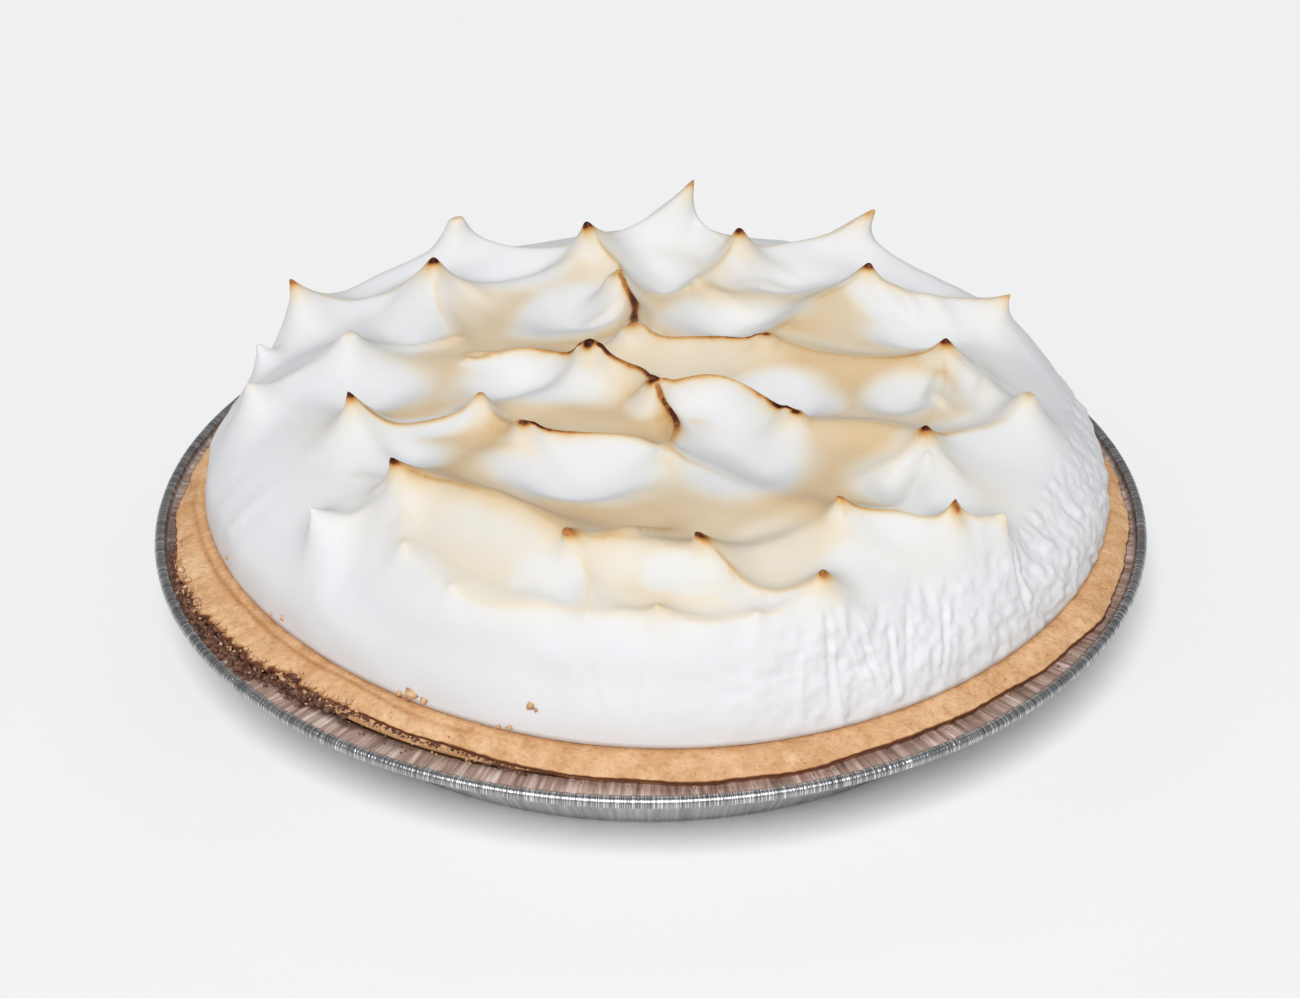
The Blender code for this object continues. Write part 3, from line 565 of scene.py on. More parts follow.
def pull(x, y):
    """How far the tips are drawn sideways."""
    pull_x, pull_y = np.zeros_like(x), np.zeros_like(y)
    for peak in PEAKS.values():
        root_x, root_y = peak_root(peak)
        distance = np.hypot(x - root_x, y - root_y)
        weight = np.exp(-(distance / (PULL_REACH * peak.reach)) ** PULL_POWER)
        pull_x += peak.lean_x * weight
        pull_y += peak.lean_y * weight
    return pull_x, pull_y


print("height at the middle", round(float(relief(np.zeros(1), np.zeros(1))[0]) / MM, 1), "mm")

# %% [markdown]
# The dome itself is a superellipse: almost flat on top, then a tall side wall. Its
# profile is spun into a plain round dome first. That is easy to divide evenly,
# because nothing has been moved yet.

# %% The plain dome
FOOT_HEIGHT = MERINGUE_LOW[2]
DOME_RISE = 0.0326
DOME_POWER = 11.0
DOME_STEPS = 300
DOME_ROWS = 108
SEAT_DEPTH = 0.5 * MM
SEAT_RADIUS = 0.98 * FOOT_RADIUS
SEAT_HOLE = 0.5 * FOOT_RADIUS


def dome_profile():
    """From the top down the outer side to the foot, then in along the base."""
    turns = np.linspace(0, pi / 2, 4 * DOME_ROWS)
    radius = np.sin(turns) ** (2 / DOME_POWER) * FOOT_RADIUS
    height = np.cos(turns) * DOME_RISE
    length = np.concatenate([[0], np.cumsum(np.hypot(np.diff(radius), np.diff(height)))])
    even = np.linspace(0, length[-1], DOME_ROWS)
    radius, height = np.interp(even, length, radius), np.interp(even, length, height)
    dome = list(zip(radius, height + FOOT_HEIGHT))[1:]
    seat = FOOT_HEIGHT - SEAT_DEPTH
    return dome + [(SEAT_RADIUS, seat), (SEAT_HOLE, seat)]


print("dome profile", len(dome_profile()), "points, turned in", DOME_STEPS, "steps")

# %% [markdown]
# A spread pie is never quite round. Its foot and its shoulder each follow their own
# closed line, and the front was cut squarer than the rest. Widening pushes the plain
# dome out to those lines, and lifting raises its top into the peaks. The rise fades
# away down the wall.

# %% Widening and lifting
FOOT_RADII = (0.1026, 0.1025, 0.1020, 0.1030, 0.1000, 0.0932, 0.0965, 0.0982)
SHOULDER_RADII = (0.1022, 0.0970, 0.0950, 0.0940, 0.0990, 0.0922, 0.0952, 0.0958)
RELIEF_FLOOR = 6.0 * MM
WALL_BLEND = 0.06
FOOT_FADE = 2.5
SHOULDER_FROM = 0.75 * FOOT_RADIUS
SHOULDER_TO = 0.92 * FOOT_RADIUS
FRONT_EDGE = 4.0 * MM
FRONT_EDGE_LEVEL = 0.82
FRONT_EDGE_HEIGHT = 0.25
# Azimuths in degrees between which the front edge grows, and fades again
FRONT_EDGE_GROWS = (-140, -118)
FRONT_EDGE_FADES = (-64, -50)


def front_edge(angle, level):
    """The front was cut squarer than the rest: how far its shoulder stands out."""
    azimuth = np.degrees(angle)
    share = smooth_step(azimuth, *FRONT_EDGE_GROWS) * (1 - smooth_step(azimuth, *FRONT_EDGE_FADES))
    return FRONT_EDGE * share * np.exp(-((level - FRONT_EDGE_LEVEL) / FRONT_EDGE_HEIGHT) ** 2)


def widened(points):
    """The plain dome with its foot and shoulder pushed in and out."""
    angle = np.arctan2(points[:, 1], points[:, 0])
    radius = np.hypot(points[:, 0], points[:, 1])
    level = np.clip((points[:, 2] - FOOT_HEIGHT) / DOME_RISE, 0, 1)
    foot, shoulder = outline(angle, FOOT_RADII), outline(angle, SHOULDER_RADII)
    wide = (shoulder + (foot - shoulder) * (1 - level) ** 2) / FOOT_RADIUS
    outer = smooth_step(radius, SHOULDER_FROM, SHOULDER_TO)
    wide += outer * front_edge(angle, level) / FOOT_RADIUS
    return points * np.stack([wide, wide, np.ones_like(wide)], axis=1)


def lifted(plain, wide):
    """The widened dome with its top raised and drawn sideways into peaks."""
    share = np.hypot(plain[:, 0], plain[:, 1]) / FOOT_RADIUS
    level = (plain[:, 2] - FOOT_HEIGHT) / DOME_RISE
    fade = 1 - np.clip((share - 1 + WALL_BLEND) / WALL_BLEND, 0, 1) ** 2
    fade *= np.clip(level * FOOT_FADE, 0, 1)
    x, y = wide[:, 0], wide[:, 1]
    pull_x, pull_y = pull(x, y)
    rise = relief(x, y) - RELIEF_FLOOR
    return wide + np.stack([pull_x, pull_y, rise], axis=1) * fade[:, None]


print("foot radius", min(FOOT_RADII), "to", max(FOOT_RADII), "m")

# %% [markdown]
# Crests, tips and the torn part of the wall need more points than the smooth faces.
# So the edges there are cut in half, once or more often, while the dome is still
# plain. Refining only where it shows keeps the mesh light. Only then are its points
# widened and lifted.

# %% The meringue's mesh
TOP_LEVEL = 0.2
SIDE_RADIUS = 0.90 * FOOT_RADIUS
LEVEL = 0.02 * MM
# Azimuths in degrees of the marked side, and of its torn part, cut again along its rows
MARKED_SIDE = (-106, 28)
TORN_SIDE = (-72, 20)
# Distance from a crest, and how burnt it has to be for its edges to be cut
FINE_CRESTS = ((2.2 * MM, 0.0), (1.2 * MM, 0.4), (0.6 * MM, 0.5))


def crest_distance(x, y, least_burn):
    """Distance from the nearest tip, or from a crest where it is burnt enough."""
    bent_x, bent_y = drift(x, y)
    nearest = nearest_root(x, y)
    for ridge in RIDGES:
        inside, away, _ = along_ridge(ridge, bent_x, bent_y)
        burnt = np.interp(inside, (0, 0.5, 1), ridge.burns) >= least_burn
        nearest = np.where(burnt, np.minimum(nearest, away), nearest)
    return nearest


def refine(shape, is_fine, only_level=False):
    """Cuts in half every edge whose two ends are in the fine region."""
    shape.verts.index_update()
    fine = is_fine(np.array([vert.co for vert in shape.verts]))
    edges = [e for e in shape.edges if fine[e.verts[0].index] and fine[e.verts[1].index]]
    if only_level:
        edges = [e for e in edges if abs(e.verts[0].co.z - e.verts[1].co.z) < LEVEL]
    bmesh.ops.subdivide_edges(shape, edges=edges, cuts=1, use_grid_fill=True)


def near_crests(reach, least_burn):
    """The places within reach of a tip, or of a crest burnt enough."""
    def is_fine(places):
        top = places[:, 2] > FOOT_HEIGHT + TOP_LEVEL * DOME_RISE
        wide = widened(places)
        return top & (crest_distance(wide[:, 0], wide[:, 1], least_burn) < reach)
    return is_fine


def on_side(first, last):
    """The side between two azimuths, in degrees."""
    def is_fine(places):
        azimuth = np.degrees(np.arctan2(places[:, 1], places[:, 0]))
        outer = np.hypot(places[:, 0], places[:, 1]) > SIDE_RADIUS
        return outer & (places[:, 2] > FOOT_HEIGHT) & (azimuth > first) & (azimuth < last)
    return is_fine


def meringue_mesh():
    shape = turned(dome_profile(), DOME_STEPS)
    refine(shape, on_side(*MARKED_SIDE))
    refine(shape, on_side(*TORN_SIDE), only_level=True)
    for reach, least_burn in FINE_CRESTS:
        refine(shape, near_crests(reach, least_burn))
    return finished("meringue_peaks", shape)


meringue = meringue_mesh()
plain_points = read_points(meringue.data)
flat_points = widened(plain_points)
write_points(meringue.data, lifted(plain_points, flat_points))
print("meringue", triangles(meringue), "triangles")

# %% [markdown]
# A spatula has gone round the side. At the back and the left it left the wall
# smooth, at the front it drew faint upright lines, and at the right front it tore
# the foam into slanting ripples and a few deep grooves. The wall is unrolled into
# two lengths, round and up, and each mark is noise stretched along its own way.
# First come the places: single grooves, and how far up the torn stretch reaches.

# %% Places of the marks
# Azimuth in degrees, and the slant a slope; the others in millimetres
Groove = namedtuple("Groove", "azimuth low high depth slant width")

GROOVES = (
    Groove(-67.9, 31, 54, 0.60, 0.02, 0.7),
    Groove(-65.3, 36, 50, 0.35, -0.30, 0.5),
    Groove(-62.6, 32, 49, 0.55, -0.22, 0.6),
    Groove(-59.2, 30, 47, 0.55, 0.10, 0.6),
    Groove(-56.3, 34, 48, 0.35, 0.30, 0.5),
    Groove(-51.0, 30, 46, 0.60, 0.35, 0.8),
    Groove(-36.8, 33, 50, 0.65, -0.05, 0.7),
    Groove(-79.0, 33, 48, 0.35, 0.05, 0.8),
    Groove(-75.6, 34, 46, 0.30, -0.10, 0.6),
    Groove(-72.5, 31, 47, 0.40, 0.15, 0.7),
    Groove(-91.5, 33, 46, 0.35, 0.12, 0.9),
    Groove(-97.0, 34, 46, 0.35, -0.15, 0.9),
    Groove(-101.0, 34, 45, 0.25, 0.15, 0.9),
    Groove(-138.0, 38, 54, -0.45, 0.30, 1.6),
    Groove(-160.0, 34, 53, -0.55, 0.45, 1.8),
    Groove(-167.0, 36, 52, 0.40, 0.50, 1.2),
    Groove(172.0, 32, 53, -0.50, -0.40, 1.6),
    Groove(166.0, 34, 50, 0.45, -0.55, 1.0),
    Groove(161.0, 32, 50, -0.40, -0.50, 1.2),
    Groove(154.0, 34, 52, 0.40, -0.45, 1.0),
)

# Azimuths in degrees, the height in millimetres torn there, and how strongly
TORN_AZIMUTHS = (-92, -80, -66, -59, -48, -32, -3, 12, 28)
TORN_TOPS = (44, 50, 54, 49, 49, 51, 53, 51, 34)
TORN_SHARES = (0, 0.35, 1, 1, 1, 1, 0.85, 0.6, 0)

print(len(GROOVES), "grooves, torn from", TORN_AZIMUTHS[0], "to", TORN_AZIMUTHS[-1], "degrees")

# %% [markdown]
# A mark is only a distance, in or out, for each point. Noise that is squeezed one way
# and drawn out the other gives ripples; leaning its places gives slanting ones. A
# groove is a dent with a small raised lip beside it, as a spatula leaves it.

# %% Marks on the side
TORN_FADE_BELOW = 2.5 * MM
TORN_FADE_ABOVE = 1.0 * MM
GROOVE_FADE_IN = (-2, 3)
GROOVE_FADE_OUT = 5
GROOVE_LIP = 0.5
GROOVE_LIP_AT = 1.8
RIPPLE_DEPTH = 0.42 * MM
LUMP_DEPTH = 0.38 * MM
LINE_DEPTH = 0.38 * MM
SWELL_DEPTH = 0.38 * MM
# Azimuths in degrees: where the ripples change their slant, and where lines are drawn
SLANT_TURNS = (-50, -30)
LINES_START = (-104, -92)
LINES_STOP = (-70, -62)


def unrolled(points):
    """Length round the pie and length up its side, and the azimuth in degrees."""
    angle = np.arctan2(points[:, 1], points[:, 0])
    return angle * FOOT_RADIUS, points[:, 2], np.degrees(angle)


def stretched_cloud(along, up, slant, width, length, seed):
    """Noise drawn out up the wall, in lines that lean by the slant."""
    places = np.stack([along - slant * up, up, np.zeros_like(up)], axis=1)
    return cloud(places, (width, length, 1.0), seed)


def torn_share(azimuth, up):
    """1 where the side is torn, 0 where it is smooth."""
    top = np.interp(azimuth, TORN_AZIMUTHS, TORN_TOPS) * MM
    share = np.interp(azimuth, TORN_AZIMUTHS, TORN_SHARES)
    return share * (1 - smooth_step(up, top - TORN_FADE_BELOW, top + TORN_FADE_ABOVE))


def groove_depth(along, up):
    """All grooves together, each with its lip on one side."""
    depth = np.zeros_like(up)
    for groove in GROOVES:
        middle = 0.5 * (groove.low + groove.high) * MM
        line = radians(groove.azimuth) * FOOT_RADIUS + groove.slant * (up - middle)
        across = (along - line) / (groove.width * MM)
        start, full = (groove.low + fade for fade in GROOVE_FADE_IN)
        inside = smooth_step(up, start * MM, full * MM)
        inside *= 1 - smooth_step(up, (groove.high - GROOVE_FADE_OUT) * MM, groove.high * MM)
        lip = GROOVE_LIP * np.exp(-(across - GROOVE_LIP_AT) ** 2)
        depth += groove.depth * MM * inside * (np.exp(-across ** 2) - lip)
    return depth


def side_marks(points):
    """How far each point of the wall moves out, from all its marks."""
    along, up, azimuth = unrolled(points)
    torn = torn_share(azimuth, up)
    right = smooth_step(azimuth, *SLANT_TURNS)
    ripples = right * stretched_cloud(along, up, -0.55, 2.2 * MM, 7 * MM, 61)
    ripples += 0.8 * (1 - right) * stretched_cloud(along, up, 0.25, 2.2 * MM, 6 * MM, 62)
    lumps = cloud(points, 2.4 * MM, 63) + 0.6 * cloud(points, 1.2 * MM, 68)
    marks = torn * (RIPPLE_DEPTH * ripples + LUMP_DEPTH * lumps)
    drawn = smooth_step(azimuth, *LINES_START) * (1 - smooth_step(azimuth, *LINES_STOP))
    lines = stretched_cloud(along, up, 0.0, 4.5 * MM, 26 * MM, 64)
    marks += drawn * LINE_DEPTH * lines
    marks += SWELL_DEPTH * cloud(points, 9 * MM, 65)
    return marks - groove_depth(along, up)


soft_points = read_points(meringue.data)
soft_normals = read_normals(meringue.data)
print("deepest mark", round(float(np.abs(side_marks(soft_points)).max()) / MM, 2), "mm")

# %% [markdown]
# The spoon also left small folds on the faces between the peaks, where foam slid over
# foam. Each is a short bowed line, steep in front and long behind. Then all relief is
# applied at once, along the normals, which point straight out of the surface. No point
# may rise above the plain solid's own top.

# %% Folds on the top
# Both ends, how far the line bows out, and the height and width, all in metres
Fold = namedtuple("Fold", "start_x start_y end_x end_y bow height width")

FOLDS = (
    Fold(0.0160, 0.0410, 0.0370, 0.0480, 0.0045, 0.0014, 0.0016),
    Fold(0.0190, 0.0385, 0.0350, 0.0430, 0.0030, 0.0010, 0.0012),
    Fold(0.0080, 0.0450, 0.0300, 0.0270, -0.0030, 0.0013, 0.0016),
    Fold(0.0500, 0.0300, 0.0610, 0.0220, 0.0015, 0.0016, 0.0016),
    Fold(0.0580, 0.0280, 0.0700, 0.0210, 0.0010, 0.0010, 0.0012),
    Fold(0.0640, -0.0030, 0.0650, -0.0180, -0.0035, 0.0013, 0.0013),
    Fold(0.0740, 0.0100, 0.0660, -0.0190, 0.0030, 0.0011, 0.0020),
    Fold(0.0430, -0.0490, 0.0580, -0.0370, 0.0030, 0.0016, 0.0012),
    Fold(0.0580, -0.0370, 0.0640, -0.0450, 0.0015, 0.0013, 0.0012),
    Fold(-0.0640, -0.0380, -0.0560, -0.0460, 0.0010, 0.0013, 0.0013),
    Fold(-0.0590, -0.0440, -0.0520, -0.0530, -0.0010, 0.0010, 0.0012),
    Fold(-0.0460, 0.0350, -0.0360, 0.0310, 0.0010, 0.0010, 0.0015),
    Fold(-0.0610, 0.0110, -0.0400, 0.0140, -0.0015, 0.0013, 0.0013),
    Fold(-0.0420, 0.0040, -0.0330, 0.0020, 0.0018, 0.0010, 0.0010),
    Fold(-0.0160, 0.0250, -0.0050, 0.0300, -0.0015, 0.0016, 0.0016),
    Fold(-0.0400, -0.0810, -0.0160, -0.0880, -0.0020, 0.0010, 0.0014),
    Fold(-0.0120, -0.0755, 0.0085, -0.0640, -0.0010, 0.0016, 0.0018),
    Fold(-0.0110, -0.0815, 0.0190, -0.0840, -0.0020, 0.0011, 0.0018),
    Fold(-0.0480, -0.0620, -0.0180, -0.0840, -0.0045, 0.0024, 0.0040),
    Fold(-0.0440, -0.0560, -0.0170, -0.0740, 0.0020, 0.0016, 0.0030),
    Fold(0.0420, -0.0690, 0.0640, -0.0640, -0.0020, 0.0010, 0.0016),
)
FOLD_FRONT = 0.6
FOLD_BACK = 1.8
SIDE_FROM = 0.86 * FOOT_RADIUS
SIDE_TO = 0.96 * FOOT_RADIUS
TOP_SWELL = 0.45 * MM
TOP_RIPPLE = 0.16 * MM


def fold_height(x, y):
    """How high the folds stand at each place."""
    height = np.zeros_like(x)
    for fold in FOLDS:
        go_x, go_y = fold.end_x - fold.start_x, fold.end_y - fold.start_y
        length = np.hypot(go_x, go_y)
        inside = ((x - fold.start_x) * go_x + (y - fold.start_y) * go_y) / length ** 2
        across = ((y - fold.start_y) * go_x - (x - fold.start_x) * go_y) / length
        inside = np.clip(inside, 0, 1)
        across = across - 4 * fold.bow * inside * (1 - inside)
        width = np.where(across < 0, FOLD_FRONT, FOLD_BACK) * fold.width
        height += fold.height * np.sin(pi * inside) * np.exp(-(across / width) ** 2)
    return height


def side_share(plain):
    """1 on the side, 0 on the top and the seat."""
    radius = np.hypot(plain[:, 0], plain[:, 1])
    return smooth_step(radius, SIDE_FROM, SIDE_TO) * (plain[:, 2] > FOOT_HEIGHT)


def marked(points, normals, plain):
    """The sculpted points with marks on the side and a soft unevenness on top."""
    side = side_share(plain)
    top = TOP_SWELL * cloud(points, 11 * MM, 66) + TOP_RIPPLE * cloud(points, 4.5 * MM, 67)
    top *= plain[:, 2] > FOOT_HEIGHT
    top += fold_height(points[:, 0], points[:, 1])
    amount = side * side_marks(points) + (1 - side) * top
    shown = points + normals * amount[:, None]
    shown[:, 2] = np.minimum(shown[:, 2], MERINGUE_HIGH[2])
    return shown


write_points(meringue.data, marked(soft_points, soft_normals, plain_points))
print(len(FOLDS), "folds, the highest", max(fold.height for fold in FOLDS) / MM, "mm")

# %% [markdown]
# Heat reaches whatever stands up. So the toasting is worked out from the form:
# dark on the very tips and along the thin crests, and golden just below them. A
# burn has two parts, a narrow char and a wider glow. The distance from a tip counts
# how far a point lies below it too, so that the colour runs down the horn.

# %% Scorched tips and crests
TIP_GLOW = 3.0 * MM
TIP_CHAR = 1.2 * MM
CREST_GLOW = 1.2 * MM
CREST_CHAR = 0.5 * MM
GLOW_SHARE = 0.45
GLOW_POWER = 2.3
CHAR_SHARE = 0.65
CHAR_POWER = 4
DROP_COUNTS = 0.8
# How much of the height a ridge has to give before its own burn shows
CREST_OWNS = (0.60, 0.84)


def burn_profile(distance, glow, char):
    """1 at the crest, quickly down to a golden glow, then slowly to nothing."""
    wide = 1 / (1 + (distance / glow) ** GLOW_POWER)
    narrow = 1 / (1 + (distance / char) ** CHAR_POWER)
    return np.minimum(GLOW_SHARE * wide + CHAR_SHARE * narrow, 1)


def tip_scorch(x, y, total, uneven):
    """The burn round the tips."""
    scorch = np.zeros_like(x)
    for peak in PEAKS.values():
        root_x, root_y = peak_root(peak)
        drop = np.maximum(peak.rise - total, 0)
        away = np.hypot(np.hypot(x - root_x, y - root_y), DROP_COUNTS * drop) * uneven
        scorch = np.maximum(scorch, peak.burn * burn_profile(away, TIP_GLOW, TIP_CHAR))
    return scorch


def crest_scorch(x, y, total, uneven, patchy):
    """The burn along the crests, wider where it is darker."""
    scorch = np.zeros_like(x)
    for ridge in RIDGES:
        inside, away, _ = along_ridge(ridge, x, y)
        owned = smooth_step(ridge_height(ridge, x, y) / total, *CREST_OWNS)
        burn = np.interp(inside, (0, 0.5, 1), ridge.burns) * patchy
        away = away * uneven / (0.5 + burn)
        scorch = np.maximum(scorch, owned * burn * burn_profile(away, CREST_GLOW, CREST_CHAR))
    return scorch


print("darkest tip", round(float(burn_profile(0.0, TIP_GLOW, TIP_CHAR)), 2))

# %% [markdown]
# A pale tan lies on the plateau near the middle. The scoops, the steep faces and the
# outer side stay white. Tips, crests and flats are joined into one number for each
# point, the toast, which is kept on the mesh. Two coats of brown never add up past
# 1, because each new one only darkens what the other has left.

# %% Tan on the flats
FLAT_TOAST = 0.42
FOLD_TOAST = 0.07
FOLD_TOAST_MOST = 1.5
TOAST_X = 4 * MM
TOAST_Y = -19 * MM
TOAST_RADIUS = 52 * MM
TOAST_END = 84 * MM
SCOOP_UNEVEN = 0.16
SCOOP_FADE = (-0.22, 0.38)
FACE_OWNS = (0.42, 0.70)
FACE_FADE = (-0.2 * MM, 1.6 * MM)
LEVEL_FADE = (0.35, 0.86)
TOP_LOW = FOOT_HEIGHT + 0.5 * DOME_RISE
TOP_HIGH = FOOT_HEIGHT + 0.8 * DOME_RISE


def scooped(x, y, uneven):
    """How white the scoops stay, and how much more tan the others get."""
    white, tanned = np.zeros_like(x), np.zeros_like(x)
    for scoop in (*SCOOPS.values(), *UNEVEN_TAN):
        inside = scoop_inside(scoop, x, y) + SCOOP_UNEVEN * uneven
        share = scoop.white * smooth_step(inside, *SCOOP_FADE)
        white = np.maximum(white, share)
        tanned = np.maximum(tanned, -share)
    return white, tanned


def spooned(x, y, total):
    """How white the face of a crest stays on the side that the spoon cut."""
    white = np.zeros_like(x)
    for ridge in RIDGES:
        _, _, behind = along_ridge(ridge, x, y)
        owned = smooth_step(ridge_height(ridge, x, y) / total, *FACE_OWNS)
        in_front = smooth_step(-behind, *FACE_FADE)
        at_back = smooth_step(behind, *FACE_FADE)
        faces = ridge.white_front * in_front + ridge.white_back * at_back
        white = np.maximum(white, owned * faces)
    return white


def flat_toast(x, y, points, normals, total):
    """The tan between the crests, strongest where the surface lies level."""
    level = smooth_step(normals[:, 2], *LEVEL_FADE)
    middle = 1 - smooth_step(np.hypot(x - TOAST_X, y - TOAST_Y), TOAST_RADIUS, TOAST_END)
    patches = 0.95 + 0.18 * cloud(points, 15 * MM, 31)
    uneven = cloud(points, 8 * MM, 32)
    white, tanned = scooped(x, y, uneven)
    white = np.maximum(white, spooned(x, y, total))
    amount = middle * (1 - white) + (1 - middle) * tanned
    return FLAT_TOAST * level * patches * amount


def toast(flat, points, normals):
    """One number for each point, from 0 for white to 1 for burnt."""
    x, y = flat[:, 0], flat[:, 1]
    total = relief(x, y)
    bent_x, bent_y = drift(x, y)
    uneven = 1 + 0.26 * cloud(points, 2.3 * MM, 33)
    tips = tip_scorch(x, y, total, uneven)
    patchy = 1 + 0.16 * cloud(points, 3.5 * MM, 34)
    crests = crest_scorch(bent_x, bent_y, total, uneven, patchy)
    on_top = smooth_step(points[:, 2], TOP_LOW, TOP_HIGH)
    flats = flat_toast(bent_x, bent_y, points, normals, total)
    folds = np.clip(fold_height(points[:, 0], points[:, 1]) / MM, 0, FOLD_TOAST_MOST)
    flats += FOLD_TOAST * folds * on_top
    return 1 - (1 - flats) * (1 - np.maximum(tips, crests) * on_top)


toasted = toast(flat_points, soft_points, soft_normals)
paint(meringue.data, "toast", toasted)
print("toasted share", round(float((toasted > 0.5).mean()), 3))

# %% [markdown]
# Materials are made of shader nodes, and in code each takes a few lines to add and
# to join. So a handful of helpers do what a hand does in the shader editor: add a
# node, join two sockets, do a sum, run a number through a colour ramp, mix two
# colours, or turn a height into a bump.

# %% Node helpers
def add_node(tree, kind, **settings):
    """A new node with its settings, such as its operation."""
    node = tree.nodes.new(kind)
    for name, value in settings.items():
        setattr(node, name, value)
    return node


def join(tree, start, end):
    tree.links.new(start, end)


def maths(tree, operation, first, second):
    """A sum of two values, each a number or a socket."""
    node = add_node(tree, "ShaderNodeMath", operation=operation)
    for socket, value in zip(node.inputs, (first, second)):
        if isinstance(value, (int, float)):
            socket.default_value = value
        else:
            join(tree, value, socket)
    return node.outputs[0]


def ramp(tree, factor, stops):
    """A colour ramp through (place, colour) stops."""
    node = add_node(tree, "ShaderNodeValToRGB")
    elements = node.color_ramp.elements
    while len(elements) < len(stops):
        elements.new(0.5)
    for element, (place, colour) in zip(elements, stops):
        element.position = place
        element.color = (*colour, 1.0)
    join(tree, factor, node.inputs["Fac"])
    return node.outputs["Color"]


def mixed(tree, factor, first, second, blend="MIX"):
    """Two colours mixed by a factor, each a tuple or a socket."""
    node = add_node(tree, "ShaderNodeMix", data_type="RGBA", blend_type=blend)
    sockets = (node.inputs["Factor"], node.inputs[6], node.inputs[7])
    for socket, value in zip(sockets, (factor, first, second)):
        if isinstance(value, tuple):
            socket.default_value = (*value, 1.0)
        elif isinstance(value, (int, float)):
            socket.default_value = value
        else:
            join(tree, value, socket)
    return node.outputs[2]


def bumped(tree, height, distance, shader):
    """Shades fine bumps; the distance is how high they seem."""
    node = add_node(tree, "ShaderNodeBump")
    node.inputs["Distance"].default_value = distance
    join(tree, height, node.inputs["Height"])
    join(tree, node.outputs["Normal"], shader.inputs["Normal"])


def new_material(name, roughness, metallic=0.0):
    material = bpy.data.materials.new(name)
    material.use_nodes = True
    shader = material.node_tree.nodes["Principled BSDF"]
    shader.inputs["Roughness"].default_value = roughness
    shader.inputs["Metallic"].default_value = metallic
    return material, material.node_tree, shader


def painted(tree, name):
    node = add_node(tree, "ShaderNodeAttribute", attribute_name=name)
    return node.outputs["Fac"]


print("materials so far", len(bpy.data.materials))

# %% [markdown]
# Two effects are shared: a grain, which is noise in real millimetres, and radial
# streaks, which run outwards from the middle of the pie on crust and tin alike. Each
# is a node group with named inputs, so one change alters every material that uses it.

# %% Shared noise
def new_group(name, inputs):
    """An empty group with number inputs, and one output called Value."""
    group = bpy.data.node_groups.new(name, "ShaderNodeTree")
    for label, value in inputs:
        socket = group.interface.new_socket(label, in_out="INPUT", socket_type="NodeSocketFloat")
        socket.default_value = value
    group.interface.new_socket("Value", in_out="OUTPUT", socket_type="NodeSocketFloat")
    start = add_node(group, "NodeGroupInput")
    end = add_node(group, "NodeGroupOutput")
    return group, start, end


def grain_group():
    """Even noise; its scale is in lumps for each metre."""
    group, start, end = new_group("grain", (("Scale", 500.0), ("Detail", 3.0)))
    place = add_node(group, "ShaderNodeTexCoord")
    noise = add_node(group, "ShaderNodeTexNoise")
    join(group, place.outputs["Object"], noise.inputs["Vector"])
    join(group, start.outputs["Scale"], noise.inputs["Scale"])
    join(group, start.outputs["Detail"], noise.inputs["Detail"])
    join(group, noise.outputs["Fac"], end.inputs["Value"])
    return group


def streaks_group():
    """Noise stretched along the radius. Turning only the direction leaves no seam."""
    inputs = (("Around", 100.0), ("Outwards", 60.0), ("Detail", 2.0))
    group, start, end = new_group("radial_streaks", inputs)
    place = add_node(group, "ShaderNodeTexCoord")
    flat = add_node(group, "ShaderNodeVectorMath", operation="MULTIPLY")
    flat.inputs[1].default_value = (1, 1, 0)
    join(group, place.outputs["Object"], flat.inputs[0])
    radius = add_node(group, "ShaderNodeVectorMath", operation="LENGTH")
    join(group, flat.outputs["Vector"], radius.inputs[0])
    direction = add_node(group, "ShaderNodeVectorMath", operation="NORMALIZE")
    join(group, flat.outputs["Vector"], direction.inputs[0])
    around = add_node(group, "ShaderNodeVectorMath", operation="SCALE")
    join(group, direction.outputs["Vector"], around.inputs[0])
    join(group, start.outputs["Around"], around.inputs["Scale"])
    outwards = maths(group, "MULTIPLY", radius.outputs["Value"], start.outputs["Outwards"])
    height = add_node(group, "ShaderNodeCombineXYZ")
    join(group, outwards, height.inputs["Z"])
    total = add_node(group, "ShaderNodeVectorMath", operation="ADD")
    join(group, around.outputs["Vector"], total.inputs[0])
    join(group, height.outputs["Vector"], total.inputs[1])
    noise = add_node(group, "ShaderNodeTexNoise")
    noise.inputs["Scale"].default_value = 1.0
    join(group, total.outputs["Vector"], noise.inputs["Vector"])
    join(group, start.outputs["Detail"], noise.inputs["Detail"])
    join(group, noise.outputs["Fac"], end.inputs["Value"])
    return group


GRAIN = grain_group()
STREAKS = streaks_group()


def use_group(tree, group, **values):
    node = add_node(tree, "ShaderNodeGroup", node_tree=group)
    for name, value in values.items():
        node.inputs[name].default_value = value
    return node.outputs["Value"]


print("node groups:", GRAIN.name, STREAKS.name)

# %% [markdown]
# Meringue is a foam of egg white and sugar: white, hardly glossy, and a little
# see-through, so light spreads under its skin. The ramp runs from foam white
# through cream, tan and golden brown to burnt sugar, and it reads the toast
# numbers. Fine noise on those numbers frays the edge of each burnt crest.

